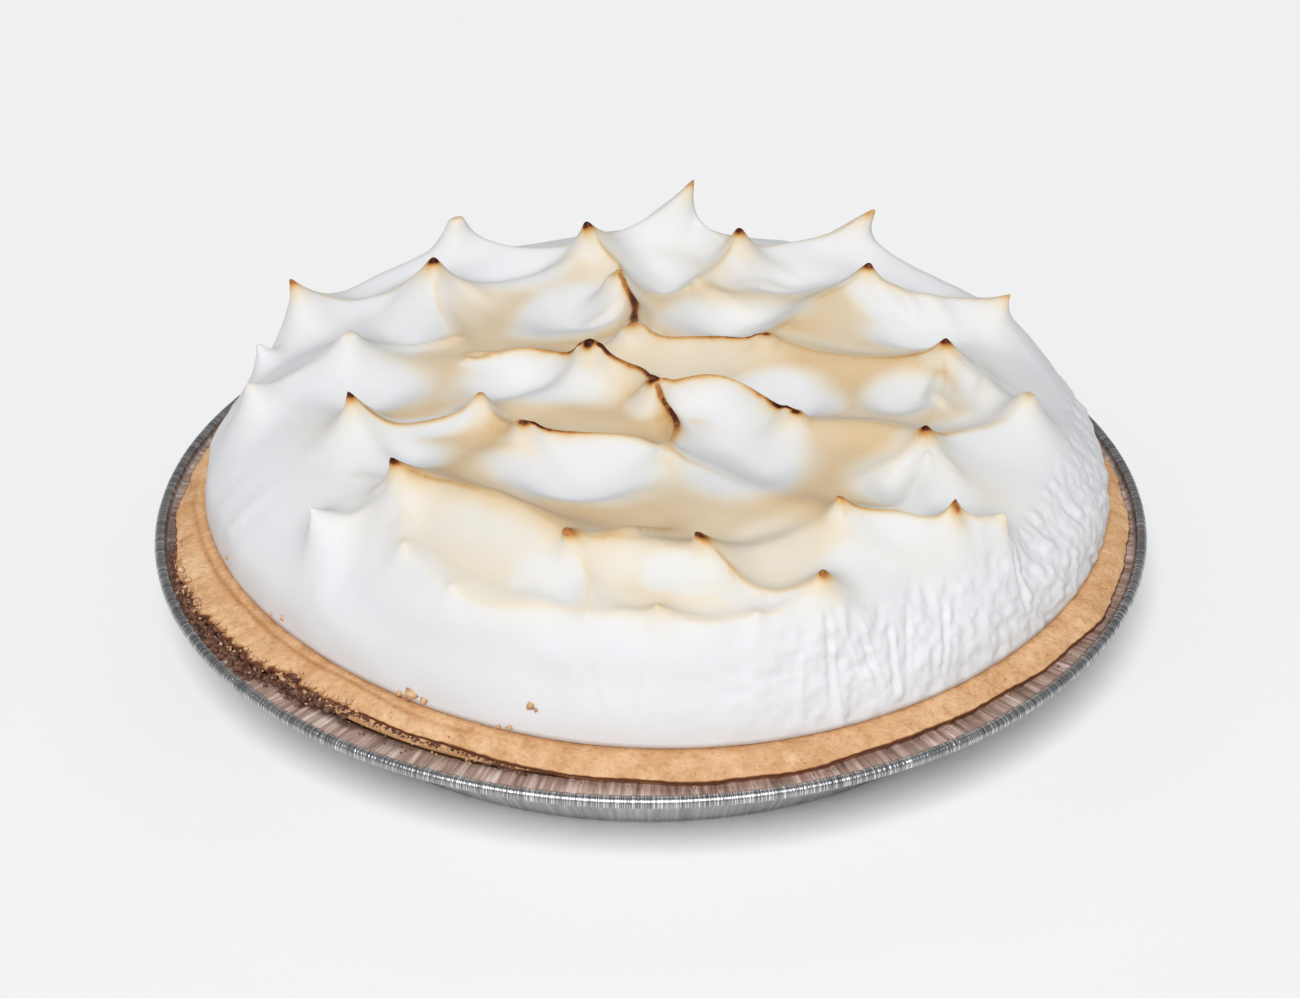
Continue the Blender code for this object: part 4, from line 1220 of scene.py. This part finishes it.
# %% Meringue finish
TOAST_STOPS = (
    (0.00, (0.745, 0.750, 0.765)),
    (0.10, (0.745, 0.728, 0.690)),
    (0.22, (0.745, 0.673, 0.555)),
    (0.40, (0.705, 0.565, 0.378)),
    (0.56, (0.650, 0.400, 0.165)),
    (0.72, (0.440, 0.180, 0.048)),
    (0.86, (0.110, 0.024, 0.006)),
    (1.00, (0.030, 0.006, 0.002)),
)
FRAY = 0.7
FRAY_POWER = 3.0
FOAM_GRAIN = 0.06 * MM
FOAM_SHINE = 0.12
FOAM_DEPTH = 3.0 * MM
FOAM_SEE_THROUGH = 0.22
FOAM_SPREAD = (1.0, 0.9, 0.75)


def meringue_material():
    """White foam, turned brown by the toast numbers; only where it is dark do they fray."""
    material, tree, shader = new_material("meringue", 0.5)
    fray = use_group(tree, GRAIN, Scale=900.0, Detail=3.0)
    toast_value = painted(tree, "toast")
    fray = maths(tree, "MULTIPLY", maths(tree, "SUBTRACT", fray, 0.5), FRAY)
    fray = maths(tree, "MULTIPLY", fray, maths(tree, "POWER", toast_value, FRAY_POWER))
    colour = ramp(tree, maths(tree, "ADD", toast_value, fray), TOAST_STOPS)
    join(tree, colour, shader.inputs["Base Color"])
    bumped(tree, use_group(tree, GRAIN, Scale=600.0, Detail=3.0), FOAM_GRAIN, shader)
    shader.inputs["Specular IOR Level"].default_value = FOAM_SHINE
    shader.inputs["Subsurface Weight"].default_value = FOAM_SEE_THROUGH
    shader.inputs["Subsurface Scale"].default_value = FOAM_DEPTH
    shader.inputs["Subsurface Radius"].default_value = FOAM_SPREAD
    return material


meringue.data.materials.append(meringue_material())
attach(meringue, "root")
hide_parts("meringue")
print("meringue points painted", len(meringue.data.vertices))

# %% [markdown]
# The crust is pressed crumbs. It starts as a turned profile, like the solid that
# it replaces. Its lip is then stretched between the meringue's foot and a broken
# edge, and roughened by two sizes of lumps, the way packed crumbs stand out.

# %% The crust's edge
CRUST_RADIUS = 0.1050
CRUST_FALL = 2.2 * MM
CRUST_EDGE = 0.6 * MM
BASE_RADIUS = 0.0860
WALL_TOP_RADIUS = 0.1022
LIP_INNER_RADIUS = 0.0950
UNDER_FOOT = 1.2 * MM
LIP_WANDER = 0.4 * MM
CHIPPED_AT = radians(-146)
CHIPPED_HALF_WIDTH = radians(17)
CHIPPED_DEPTH = 1.5 * MM
RAGGED = 0.09 * MM
RAGGED_CHIP = 0.45 * MM
CRUST_RADII = (
    0.1068, 0.1070, 0.1066, 0.1064, 0.1066, 0.1070,
    0.1064, 0.1052, 0.0998, 0.1043, 0.1035, 0.1060,
)
CRUST_LIMIT = 0.10735
CRUST_TOP = CRUST_HIGH[2]
LIP_ROWS = 28
LIP_LOW = 0.023275
LIP_LEVEL_SHARE = 0.12
LIP_FALL_POWER = 1.65
# Where the crust's side turns, just inside the tin's wall: radius, then height
CRUST_SIDE = ((0.1016, LIP_LOW), (0.1006, LIP_LOW - 0.9 * MM), (0.08525, 2.95 * MM))
CRUST_BASE_RADIUS = 0.08385


def chipped(angle):
    """1 where the lip is broken, 0 where it is whole."""
    return np.exp(-(turn_between(angle, CHIPPED_AT) / CHIPPED_HALF_WIDTH) ** 4)


def crust_radius(angle):
    """The lip's edge, with broken bites at the left front."""
    edge = outline(angle, CRUST_RADII)
    edge += LIP_WANDER * wander(angle, (9, 14, 23, 31), 3)
    bites = 0.5 + 0.5 * wander(angle, (19, 33, 47), 8)
    edge -= CHIPPED_DEPTH * bites * chipped(angle)
    ragged = wander(angle, (89, 127, 181, 263), 9)
    edge += (RAGGED + RAGGED_CHIP * chipped(angle)) * ragged
    return np.minimum(edge, CRUST_LIMIT)


def crust_profile():
    """Top, sloping lip and its underside, then the side and bottom in the tin."""
    low, high = CRUST_LOW[2], CRUST_TOP
    out = np.linspace(0, 1, LIP_ROWS)
    down = np.maximum((out - LIP_LEVEL_SHARE) / (1 - LIP_LEVEL_SHARE), 0) ** LIP_FALL_POWER
    lip_radius = LIP_INNER_RADIUS + (CRUST_RADIUS - LIP_INNER_RADIUS) * out
    lip = list(zip(lip_radius, high - CRUST_FALL * down))
    under = [
        (CRUST_RADIUS, LIP_LOW + CRUST_EDGE),
        (CRUST_RADIUS - CRUST_EDGE, LIP_LOW),
        *CRUST_SIDE,
        (CRUST_BASE_RADIUS, low),
    ]
    return [(0.5 * LIP_INNER_RADIUS, high)] + lip + under + [(0.5 * BASE_RADIUS, low)]


edge_ring = crust_radius(np.linspace(-pi, pi, 360))
print("crust edge from", round(float(edge_ring.min()), 4), "to", round(float(edge_ring.max()), 4), "m")

# %% [markdown]
# Only the open part of the lip is roughened, most where it broke. How brown each
# point is, with painted shade at its outer edge, goes onto the mesh as a number, like
# the toast above. It depends on how far the point lies from the meringue's foot and
# from the edge.

# %% The crust's surface
CRUST_STEPS = 1500
LIP_START = -0.01
LIP_UNDERSIDE = 0.5 * MM
LIP_SAG = 0.12 * MM
# Height of crumbs where the crust is smooth, and how much more where it is rough
FINE_CRUMBS = (0.13, 0.35)
COARSE_CRUMBS = (0.12, 0.22)
BASE_BROWN = 0.18
FOOT_DARKENING = 0.20
DARK_LINE_WIDTH = 0.6 * MM
OLD_EDGE_BROWN = 0.34
OLD_EDGE = 2.3 * MM
OLD_EDGE_WANDER = 0.4 * MM
OLD_EDGE_AT = radians(-146)
OLD_EDGE_HALF_WIDTH = radians(36)
# The rim darkens from this share of the way out, and sooner where it is broken:
# browning of the thin edge, and painted shade of the gap under it
RIM_FROM = 0.955
RIM_SOONER = 0.10
RIM_FULL = 1.01
BROAD_PATCHES = 0.10
FINE_PATCHES = 0.07
# Roughness starts at this share of the way out, and is this strong where the lip is whole
ROUGH_FROM = 0.6
ROUGH_WHOLE = 0.25


def crust_places(points):
    """Stretches the lip and roughens it. Also gives each point's share of the way out."""
    radius = np.hypot(points[:, 0], points[:, 1])
    angle = np.arctan2(points[:, 1], points[:, 0])
    out = (radius - LIP_INNER_RADIUS) / (CRUST_RADIUS - LIP_INNER_RADIUS)
    is_wall = (points[:, 2] < CRUST_TOP - CRUST_FALL) & (radius < WALL_TOP_RADIUS)
    on_lip = (out > LIP_START) & ~is_wall
    inner = outline(angle, FOOT_RADII) - UNDER_FOOT
    stretched = inner + (crust_radius(angle) - inner) * out
    scale = np.where(on_lip, stretched / np.maximum(radius, 1 * MM), 1)
    points[:, :2] *= scale[:, None]
    is_open = on_lip & (points[:, 2] > LIP_LOW + LIP_UNDERSIDE)
    return points, np.where(on_lip, out, 0), is_open


def crumb_height(points, rough):
    """Crumbs on the surface, coarser where the crust is rough."""
    fine = np.abs(cloud(points, 0.8 * MM, 41))
    coarse = cloud(points, 2.2 * MM, 42)
    fine_height = (FINE_CRUMBS[0] + FINE_CRUMBS[1] * rough) * MM
    coarse_height = (COARSE_CRUMBS[0] + COARSE_CRUMBS[1] * rough) * MM
    return fine_height * fine + coarse_height * coarse


def brown_and_rim_shade(points, angle, out):
    """Darker at the meringue's foot, brown along an old edge at the left, and dark at the rim, from
    browning and from painted shade of the gap under the edge.
    """
    width = crust_radius(angle) - outline(angle, FOOT_RADII) + UNDER_FOOT
    from_foot = np.maximum(out * width - UNDER_FOOT, 0)
    foot = FOOT_DARKENING * np.exp(-from_foot / DARK_LINE_WIDTH)
    at_left = np.exp(-(turn_between(angle, OLD_EDGE_AT) / OLD_EDGE_HALF_WIDTH) ** 4)
    edge = OLD_EDGE - OLD_EDGE_WANDER * wander(angle, (5, 11, 17), 44)
    across = (from_foot - edge) / DARK_LINE_WIDTH
    old_edge = OLD_EDGE_BROWN * at_left * np.exp(-across ** 2)
    # Painted shade: the gap under the crust's edge darkens the rim, along with its browning
    rim = smooth_step(out, RIM_FROM - RIM_SOONER * chipped(angle), RIM_FULL)
    patches = BROAD_PATCHES * cloud(points, 4 * MM, 43)
    patches += FINE_PATCHES * cloud(points, 1.4 * MM, 45)
    return np.clip(BASE_BROWN + patches + np.maximum(np.maximum(foot, old_edge), rim), 0, 1)


def crust_mesh():
    crust = finished("crumb_crust", turned(crust_profile(), CRUST_STEPS))
    points, out, is_open = crust_places(read_points(crust.data))
    write_points(crust.data, points)
    angle = np.arctan2(points[:, 1], points[:, 0])
    rough = smooth_step(out, ROUGH_FROM, 1.0) * (ROUGH_WHOLE + (1 - ROUGH_WHOLE) * chipped(angle))
    sag = LIP_SAG * np.clip(wander(angle, (7, 13, 22, 37), 5) + 1, 0, 2)
    lift = crumb_height(points, rough) - sag
    # The numbers hold the crust's brown, and at the rim painted shade of the gap under it
    paint(crust.data, "rim_shaded_brown", brown_and_rim_shade(points, angle, out))
    points += read_normals(crust.data) * (lift * is_open)[:, None]
    write_points(crust.data, points)
    return crust


crust = crust_mesh()
print("crust", triangles(crust), "triangles")

# %% [markdown]
# Baked crumb crust is sandy tan. It is darker along the line where it meets the
# meringue, and darkest at the outer edge, which browns where it is thin and carries
# painted shade of the gap under it.

# %% Crust finish
CRUST_STOPS = (
    (0.00, (0.80, 0.540, 0.320)),
    (0.20, (0.71, 0.435, 0.232)),
    (0.45, (0.56, 0.300, 0.140)),
    (0.75, (0.34, 0.150, 0.065)),
    (1.00, (0.13, 0.050, 0.025)),
)
# Both of these multiply the base colour, so values above 1 make it lighter
SPECKLE_STOPS = (
    (0.28, (0.72, 0.64, 0.56)),
    (0.46, (1.0, 1.0, 1.0)),
    (0.75, (1.15, 1.18, 1.22)),
)
PATCH_STOPS = (
    (0.35, (0.90, 0.82, 0.74)),
    (0.65, (1.06, 1.08, 1.10)),
)
SPECKLE_SHARE = 0.6
CRUST_GRAIN = 0.35 * MM
CRUST_SHINE = 0.15


def crust_material():
    """Sandy tan, speckled by its crumbs and a little patchy from the oven."""
    material, tree, shader = new_material("crumb_crust", 0.85)
    # The ramp's dark end is the rim's browning and painted shade
    base = ramp(tree, painted(tree, "rim_shaded_brown"), CRUST_STOPS)
    speckle = ramp(tree, use_group(tree, GRAIN, Scale=1000.0, Detail=4.0), SPECKLE_STOPS)
    colour = mixed(tree, SPECKLE_SHARE, base, speckle, "MULTIPLY")
    patches = ramp(tree, use_group(tree, GRAIN, Scale=210.0, Detail=3.0), PATCH_STOPS)
    join(tree, mixed(tree, 1.0, colour, patches, "MULTIPLY"), shader.inputs["Base Color"])
    bumped(tree, use_group(tree, GRAIN, Scale=1500.0, Detail=4.0), CRUST_GRAIN, shader)
    shader.inputs["Specular IOR Level"].default_value = CRUST_SHINE
    return material


CRUST_FINISH = crust_material()
crust.data.materials.append(CRUST_FINISH)
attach(crust, "root")
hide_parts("crust")
print("crust finish", CRUST_FINISH.name)

# %% [markdown]
# Where the lip broke, its crumbs fell on the tin's flange and burnt there. Others
# stayed pale on the crust, and a few stuck low on the meringue's wall. A shower is
# many crumbs strewn along a stretch of the edge. The stuck ones are placed one by
# one, because each of them shows.

# %% Where the crumbs lie
Shower = namedtuple("Shower", "first last count low_size high_size inner outer")

# Azimuths in degrees, then how far each shower reaches over and past the crust's edge
BURNT_SHOWERS = (
    Shower(-172, -128, 420, 0.6 * MM, 1.7 * MM, -0.5 * MM, 2.8 * MM),
    Shower(-128, -104, 200, 0.4 * MM, 1.1 * MM, -0.3 * MM, 1.1 * MM),
    Shower(-152, -134, 120, 0.6 * MM, 1.5 * MM, 0.8 * MM, 5.0 * MM),
    Shower(-172, -118, 160, 0.3 * MM, 0.6 * MM, 0.5 * MM, 5.0 * MM),
    Shower(-104, -30, 70, 0.2 * MM, 0.45 * MM, -0.1 * MM, 0.6 * MM),
)
BAKED_SHOWERS = (
    Shower(-172, -126, 150, 0.6 * MM, 1.6 * MM, -1.3 * MM, 0.8 * MM),
    Shower(-126, -20, 60, 0.2 * MM, 0.5 * MM, -2.4 * MM, 0.0 * MM),
    Shower(-175, -110, 60, 0.3 * MM, 0.8 * MM, 0.2 * MM, 3.0 * MM),
)
# Azimuth in degrees, height and size in millimetres
STUCK_CRUMBS = (
    (-105.0, 33.6, 1.9),
    (-104.2, 32.9, 1.0),
    (-121.5, 28.6, 3.0),
    (-119.8, 28.0, 2.0),
    (-123.4, 27.7, 1.6),
    (-107.5, 28.0, 1.4),
    (-109.0, 27.6, 1.1),
    (-146.0, 29.3, 1.4),
    (-148.5, 28.4, 1.2),
    (-162.0, 30.2, 1.3),
)

print(sum(shower.count for shower in BURNT_SHOWERS + BAKED_SHOWERS), "strewn crumbs")

# %% [markdown]
# A crumb is an icosphere with its corners pushed about at random. All crumbs of one
# kind are one mesh, each with a size and place drawn from a seeded generator, so
# that they come out the same every time. A stuck crumb finds the meringue's wall by
# casting a ray at it.

# %% Crumbs
FLANGE_TOP = 22.9 * MM
FLANGE_RADIUS = 0.1081
CRUMB_JITTER = 0.34
CRUMB_LIFT = 0.35
CRUMB_STRETCH = (0.75, 1.25)
CRUMB_SHINE = 0.2
MOST_CRUMBS_AT = 0.4 * MM
# How high the crust stands over the flange, as a share, near and past its edge
SLOPE_AT = (-3.5 * MM, -1.0 * MM, 0.2 * MM)
SLOPE_SHARES = (1.0, 0.6, 0.0)
BURNT_CRUMB_COLOURS = ((0.060, 0.026, 0.017), (0.26, 0.130, 0.085))
BAKED_CRUMB_COLOURS = ((0.42, 0.22, 0.10), (0.80, 0.54, 0.32))
FOAM = BVHTree.FromObject(meringue, bpy.context.evaluated_depsgraph_get())


def add_crumb(shape, place, size, random):
    turn = Euler(random.uniform(0, 2 * pi, 3)).to_matrix().to_4x4()
    stretch = Matrix.Diagonal((*random.uniform(*CRUMB_STRETCH, 3), 1.0))
    new = bmesh.ops.create_icosphere(
        shape, subdivisions=1, radius=size,
        matrix=Matrix.Translation(place) @ turn @ stretch,
    )["verts"]
    for vert in new:
        vert.co += Vector(random.uniform(-1, 1, 3)) * CRUMB_JITTER * size


def crumb_place(azimuth, past_edge, size):
    """On the flange outside the crust's edge, on the crust inside it."""
    angle = radians(azimuth)
    edge = float(crust_radius(np.array([angle]))[0])
    radius = min(edge + past_edge, FLANGE_RADIUS - size)
    on_crust = float(np.interp(radius, [edge + step for step in SLOPE_AT], SLOPE_SHARES))
    height = FLANGE_TOP + (CRUST_TOP - FLANGE_TOP) * on_crust + CRUMB_LIFT * size
    return Vector((radius * cos(angle), radius * sin(angle), height))


def stuck_place(azimuth, height):
    """Where a level line in towards the pie's axis meets the meringue."""
    angle = radians(azimuth)
    outwards = Vector((cos(angle), sin(angle), 0))
    start = 2 * RIM_RADIUS * outwards + Vector((0, 0, height))
    return FOAM.ray_cast(start, -outwards)[0]


def crumbs_mesh(name, showers, seed, stuck=()):
    """The stuck crumbs, then each shower, as one mesh."""
    random = np.random.default_rng(seed)
    shape = bmesh.new()
    for azimuth, height, size in stuck:
        add_crumb(shape, stuck_place(azimuth, height * MM), size * MM / 2, random)
    for shower in showers:
        for _ in range(shower.count):
            azimuth = random.uniform(shower.first, shower.last)
            most = shower.inner + MOST_CRUMBS_AT
            past_edge = random.triangular(shower.inner, most, shower.outer)
            size = random.triangular(shower.low_size, shower.low_size, shower.high_size) / 2
            add_crumb(shape, crumb_place(azimuth, past_edge, size), size, random)
    return finished(name, shape)


def crumb_material(name, dark, light):
    material, tree, shader = new_material(name, 0.85)
    grain = use_group(tree, GRAIN, Scale=700.0, Detail=3.0)
    join(tree, ramp(tree, grain, ((0.3, dark), (0.7, light))), shader.inputs["Base Color"])
    shader.inputs["Specular IOR Level"].default_value = CRUMB_SHINE
    return material


burnt_crumbs = crumbs_mesh("burnt_crumbs", BURNT_SHOWERS, 71)
burnt_crumbs.data.materials.append(crumb_material("burnt_crumbs", *BURNT_CRUMB_COLOURS))
baked_crumbs = crumbs_mesh("baked_crumbs", BAKED_SHOWERS, 72, STUCK_CRUMBS)
baked_crumbs.data.materials.append(crumb_material("baked_crumbs", *BAKED_CRUMB_COLOURS))
for crumbs in (burnt_crumbs, baked_crumbs):
    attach(crumbs, "root")
    print(crumbs.name, triangles(crumbs), "triangles")

# %% [markdown]
# The tin is stamped from foil. Stamping a flat disc into a dish leaves too much
# metal round the rim, which gathers into hundreds of small radial creases, and
# the raw edge is curled under into a bead. The sheet is modelled as one surface
# first, creased, and only then given its thickness.

# %% The tin's profile
FOIL = 0.35 * MM
BEAD_RADIUS = 1.1 * MM
BEAD_HEIGHT = 0.0235
BEAD_START = radians(180)
BEAD_END = radians(-110)
BASE_CORNER = 2.0 * MM
FLANGE_HEIGHT = 0.0227
BEAD_POINTS = 11
FLANGE_STEP = 1.2 * MM
CORNER_IN = 0.9 * MM
CORNER_DOWN = 0.6 * MM


def tin_profile():
    """From the rolled bead in along the flange and down the wall to the middle."""
    bead_middle = (RIM_RADIUS - FOIL / 2 - BEAD_RADIUS, BEAD_HEIGHT)
    bead = arc(bead_middle, BEAD_RADIUS, BEAD_END, BEAD_START, BEAD_POINTS)
    flange = [(FLANGE_RADIUS - step * FLANGE_STEP, FLANGE_HEIGHT) for step in range(5)]
    corner = [
        (WALL_TOP_RADIUS, FLANGE_HEIGHT),
        (WALL_TOP_RADIUS - CORNER_IN, FLANGE_HEIGHT - CORNER_DOWN),
    ]
    share = np.linspace(0, 1, 6)[1:]
    wall_radius = corner[1][0] + (BASE_RADIUS + 0.6 * MM - corner[1][0]) * share
    wall_height = corner[1][1] + (BASE_CORNER + FOIL / 2 - corner[1][1]) * share
    base = [(BASE_RADIUS - 0.8 * MM, FOIL / 2), (0.5 * BASE_RADIUS, FOIL / 2)]
    return bead + flange + corner + list(zip(wall_radius, wall_height)) + base


print("tin profile", len(tin_profile()), "points")

# %% [markdown]
# The creases are uneven, because each fold takes what metal is near it. They are
# strongest on the flange and fade down the wall, and the bead only gets small dents.
# Where the crust broke, juice burnt on. Last, a Solidify modifier gives the sheet
# its thickness.

# %% Creases, burnt film and thickness
TIN_STEPS = 1300
CREASE = 0.10 * MM
BEAD_CREASE = 0.35
CREASE_LEAST = 0.65
CREASE_VARIES = 0.35
BEAD_FROM = FLANGE_RADIUS + 1.2 * MM
BURNT_AT = radians(-147)
BURNT_HALF_WIDTH = radians(33)
BURNT_REACH = (2.2 * MM, 4.4 * MM)
BURNT_FRAY = 1.1 * MM


def crease_height(angle, radius):
    """Uneven radial creases, strongest on the flange and fading down the wall."""
    creases = wander(angle, (187, 211, 233, 262), 51)
    strength = CREASE_LEAST + CREASE_VARIES * wander(angle, (3, 5, 8, 13), 52)
    fade = smooth_step(radius, BASE_RADIUS, WALL_TOP_RADIUS)
    return CREASE * creases * strength * fade


def burnt_film(points, angle, radius):
    """Where juice and crumbs burnt on the flange, under the broken lip."""
    here = np.exp(-(turn_between(angle, BURNT_AT) / BURNT_HALF_WIDTH) ** 4)
    from_crust = radius - crust_radius(angle) + BURNT_FRAY * cloud(points, 2.5 * MM, 53)
    return here * (1 - smooth_step(from_crust, *BURNT_REACH))


def tin_mesh():
    tin = finished("foil_tin_sheet", turned(tin_profile(), TIN_STEPS))
    points = read_points(tin.data)
    radius = np.hypot(points[:, 0], points[:, 1])
    angle = np.arctan2(points[:, 1], points[:, 0])
    height = crease_height(angle, radius)
    height = np.where(radius > BEAD_FROM, -BEAD_CREASE * np.abs(height), height)
    points += read_normals(tin.data) * height[:, None]
    write_points(tin.data, points)
    paint(tin.data, "burnt", burnt_film(points, angle, radius))
    wall = tin.modifiers.new("Foil", "SOLIDIFY")
    wall.thickness = FOIL
    wall.offset = 0.0
    return tin


tin = tin_mesh()
print("tin sheet", triangles(tin), "triangles before its thickness")

# %% [markdown]
# Bare foil is bright grey. On the flange lies a brown tint, streaked by the creases:
# partly fat and sugar from the crust baked on, and partly painted reflection of the
# crust in the foil. It is nearly black along the broken crust, where the mesh says it
# is burnt. A mask on the radius keeps the tint on the flange, and the tint shines less
# like metal than bare foil does. The bead is coloured darker, with painted glints on
# its crimps and painted dark reflections between them.

# %% Foil finish
FOIL_STOPS = (
    (0.30, (0.50, 0.50, 0.50)),
    (0.55, (0.72, 0.72, 0.72)),
    (0.75, (0.98, 0.98, 0.98)),
)
# The flange tint: baked-on fat and sugar, with painted reflection of the crust
STAIN_AND_REFLECTION_STOPS = (
    (0.30, (0.22, 0.135, 0.105)),
    (0.52, (0.50, 0.345, 0.280)),
    (0.72, (0.86, 0.710, 0.640)),
)
# Painted glints on the bead's crimps, and painted dark reflections between them
BEAD_GLINT_STOPS = (
    (0.36, (0.20, 0.20, 0.205)),
    (0.56, (0.45, 0.45, 0.455)),
    (0.68, (0.95, 0.95, 0.95)),
)
BURNT_COLOUR = (0.075, 0.036, 0.024)
TINT_DULLS = 0.72
FOIL_BUMPS = 0.22 * MM
# The flange tint starts and stops at these radii, and fades over these lengths
TINT_START = WALL_TOP_RADIUS - 0.8 * MM
TINT_START_FADE = 0.6 * MM
TINT_STOP = FLANGE_RADIUS + 0.5 * MM
TINT_STOP_FADE = 0.8 * MM
BEAD_SHOWS_FROM = FLANGE_RADIUS + 0.4 * MM


def radius_node(tree):
    """Each point's distance from the pie's axis."""
    place = add_node(tree, "ShaderNodeTexCoord")
    flat = add_node(tree, "ShaderNodeVectorMath", operation="MULTIPLY")
    flat.inputs[1].default_value = (1, 1, 0)
    join(tree, place.outputs["Object"], flat.inputs[0])
    radius = add_node(tree, "ShaderNodeVectorMath", operation="LENGTH")
    join(tree, flat.outputs["Vector"], radius.inputs[0])
    return radius.outputs["Value"]


def tint_mask(tree, radius):
    """1 on the flange, 0 on the wall and the bead."""
    inner = maths(tree, "SUBTRACT", radius, TINT_START)
    inner = maths(tree, "MULTIPLY", inner, 1 / TINT_START_FADE)
    outer = maths(tree, "SUBTRACT", TINT_STOP, radius)
    outer = maths(tree, "MULTIPLY", outer, 1 / TINT_STOP_FADE)
    clamp = add_node(tree, "ShaderNodeClamp")
    join(tree, maths(tree, "MINIMUM", inner, outer), clamp.inputs["Value"])
    return clamp.outputs["Result"]


def foil_material():
    """Bare metal, with a tint of baked-on stain and painted reflection on the flange, and painted glints
    and dark reflections on the bead.
    """
    material, tree, shader = new_material("foil", 0.34, 1.0)
    radius = radius_node(tree)
    streaks = use_group(tree, STREAKS, Around=95.0, Outwards=70.0, Detail=3.0)
    # Painted reflection of the crust, mixed with the baked-on stain and the burnt patch
    stain_and_reflection = mixed(tree, painted(tree, "burnt"), ramp(tree, streaks, STAIN_AND_REFLECTION_STOPS), BURNT_COLOUR)
    stain_and_reflection_share = tint_mask(tree, radius)
    # Painted glints and dark reflections on the bead's crimps
    crimp_glints = use_group(tree, STREAKS, Around=620.0, Outwards=30.0, Detail=1.0)
    at_bead = maths(tree, "GREATER_THAN", radius, BEAD_SHOWS_FROM)
    metal = mixed(tree, at_bead, ramp(tree, streaks, FOIL_STOPS), ramp(tree, crimp_glints, BEAD_GLINT_STOPS))
    join(tree, mixed(tree, stain_and_reflection_share, metal, stain_and_reflection), shader.inputs["Base Color"])
    metallic = maths(tree, "SUBTRACT", 1.0, maths(tree, "MULTIPLY", stain_and_reflection_share, TINT_DULLS))
    join(tree, metallic, shader.inputs["Metallic"])
    creases = use_group(tree, STREAKS, Around=260.0, Outwards=40.0, Detail=3.0)
    bumped(tree, creases, FOIL_BUMPS, shader)
    return material


tin.data.materials.append(foil_material())
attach(tin, "root")
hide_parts("foil_tin")
print("foil finish ready")

# %% [markdown]
# The table is one pale sheet. Its colour is close to white, so the pie's own
# white has to be told apart from it by shading alone.

# %% Floor
FLOOR_SIZE = 20.0


def add_floor():
    shape = bmesh.new()
    bmesh.ops.create_grid(shape, x_segments=1, y_segments=1, size=FLOOR_SIZE / 2)
    floor = finished("floor", shape)
    material, tree, shader = new_material("pale_table", 0.6)
    tone = ramp(tree, use_group(tree, GRAIN, Scale=3.0, Detail=1.0), (
        (0.0, (0.98, 0.98, 0.98)),
        (1.0, (1.0, 1.0, 1.0)),
    ))
    join(tree, tone, shader.inputs["Base Color"])
    floor.data.materials.append(material)


add_floor()
print("floor side", FLOOR_SIZE, "m")
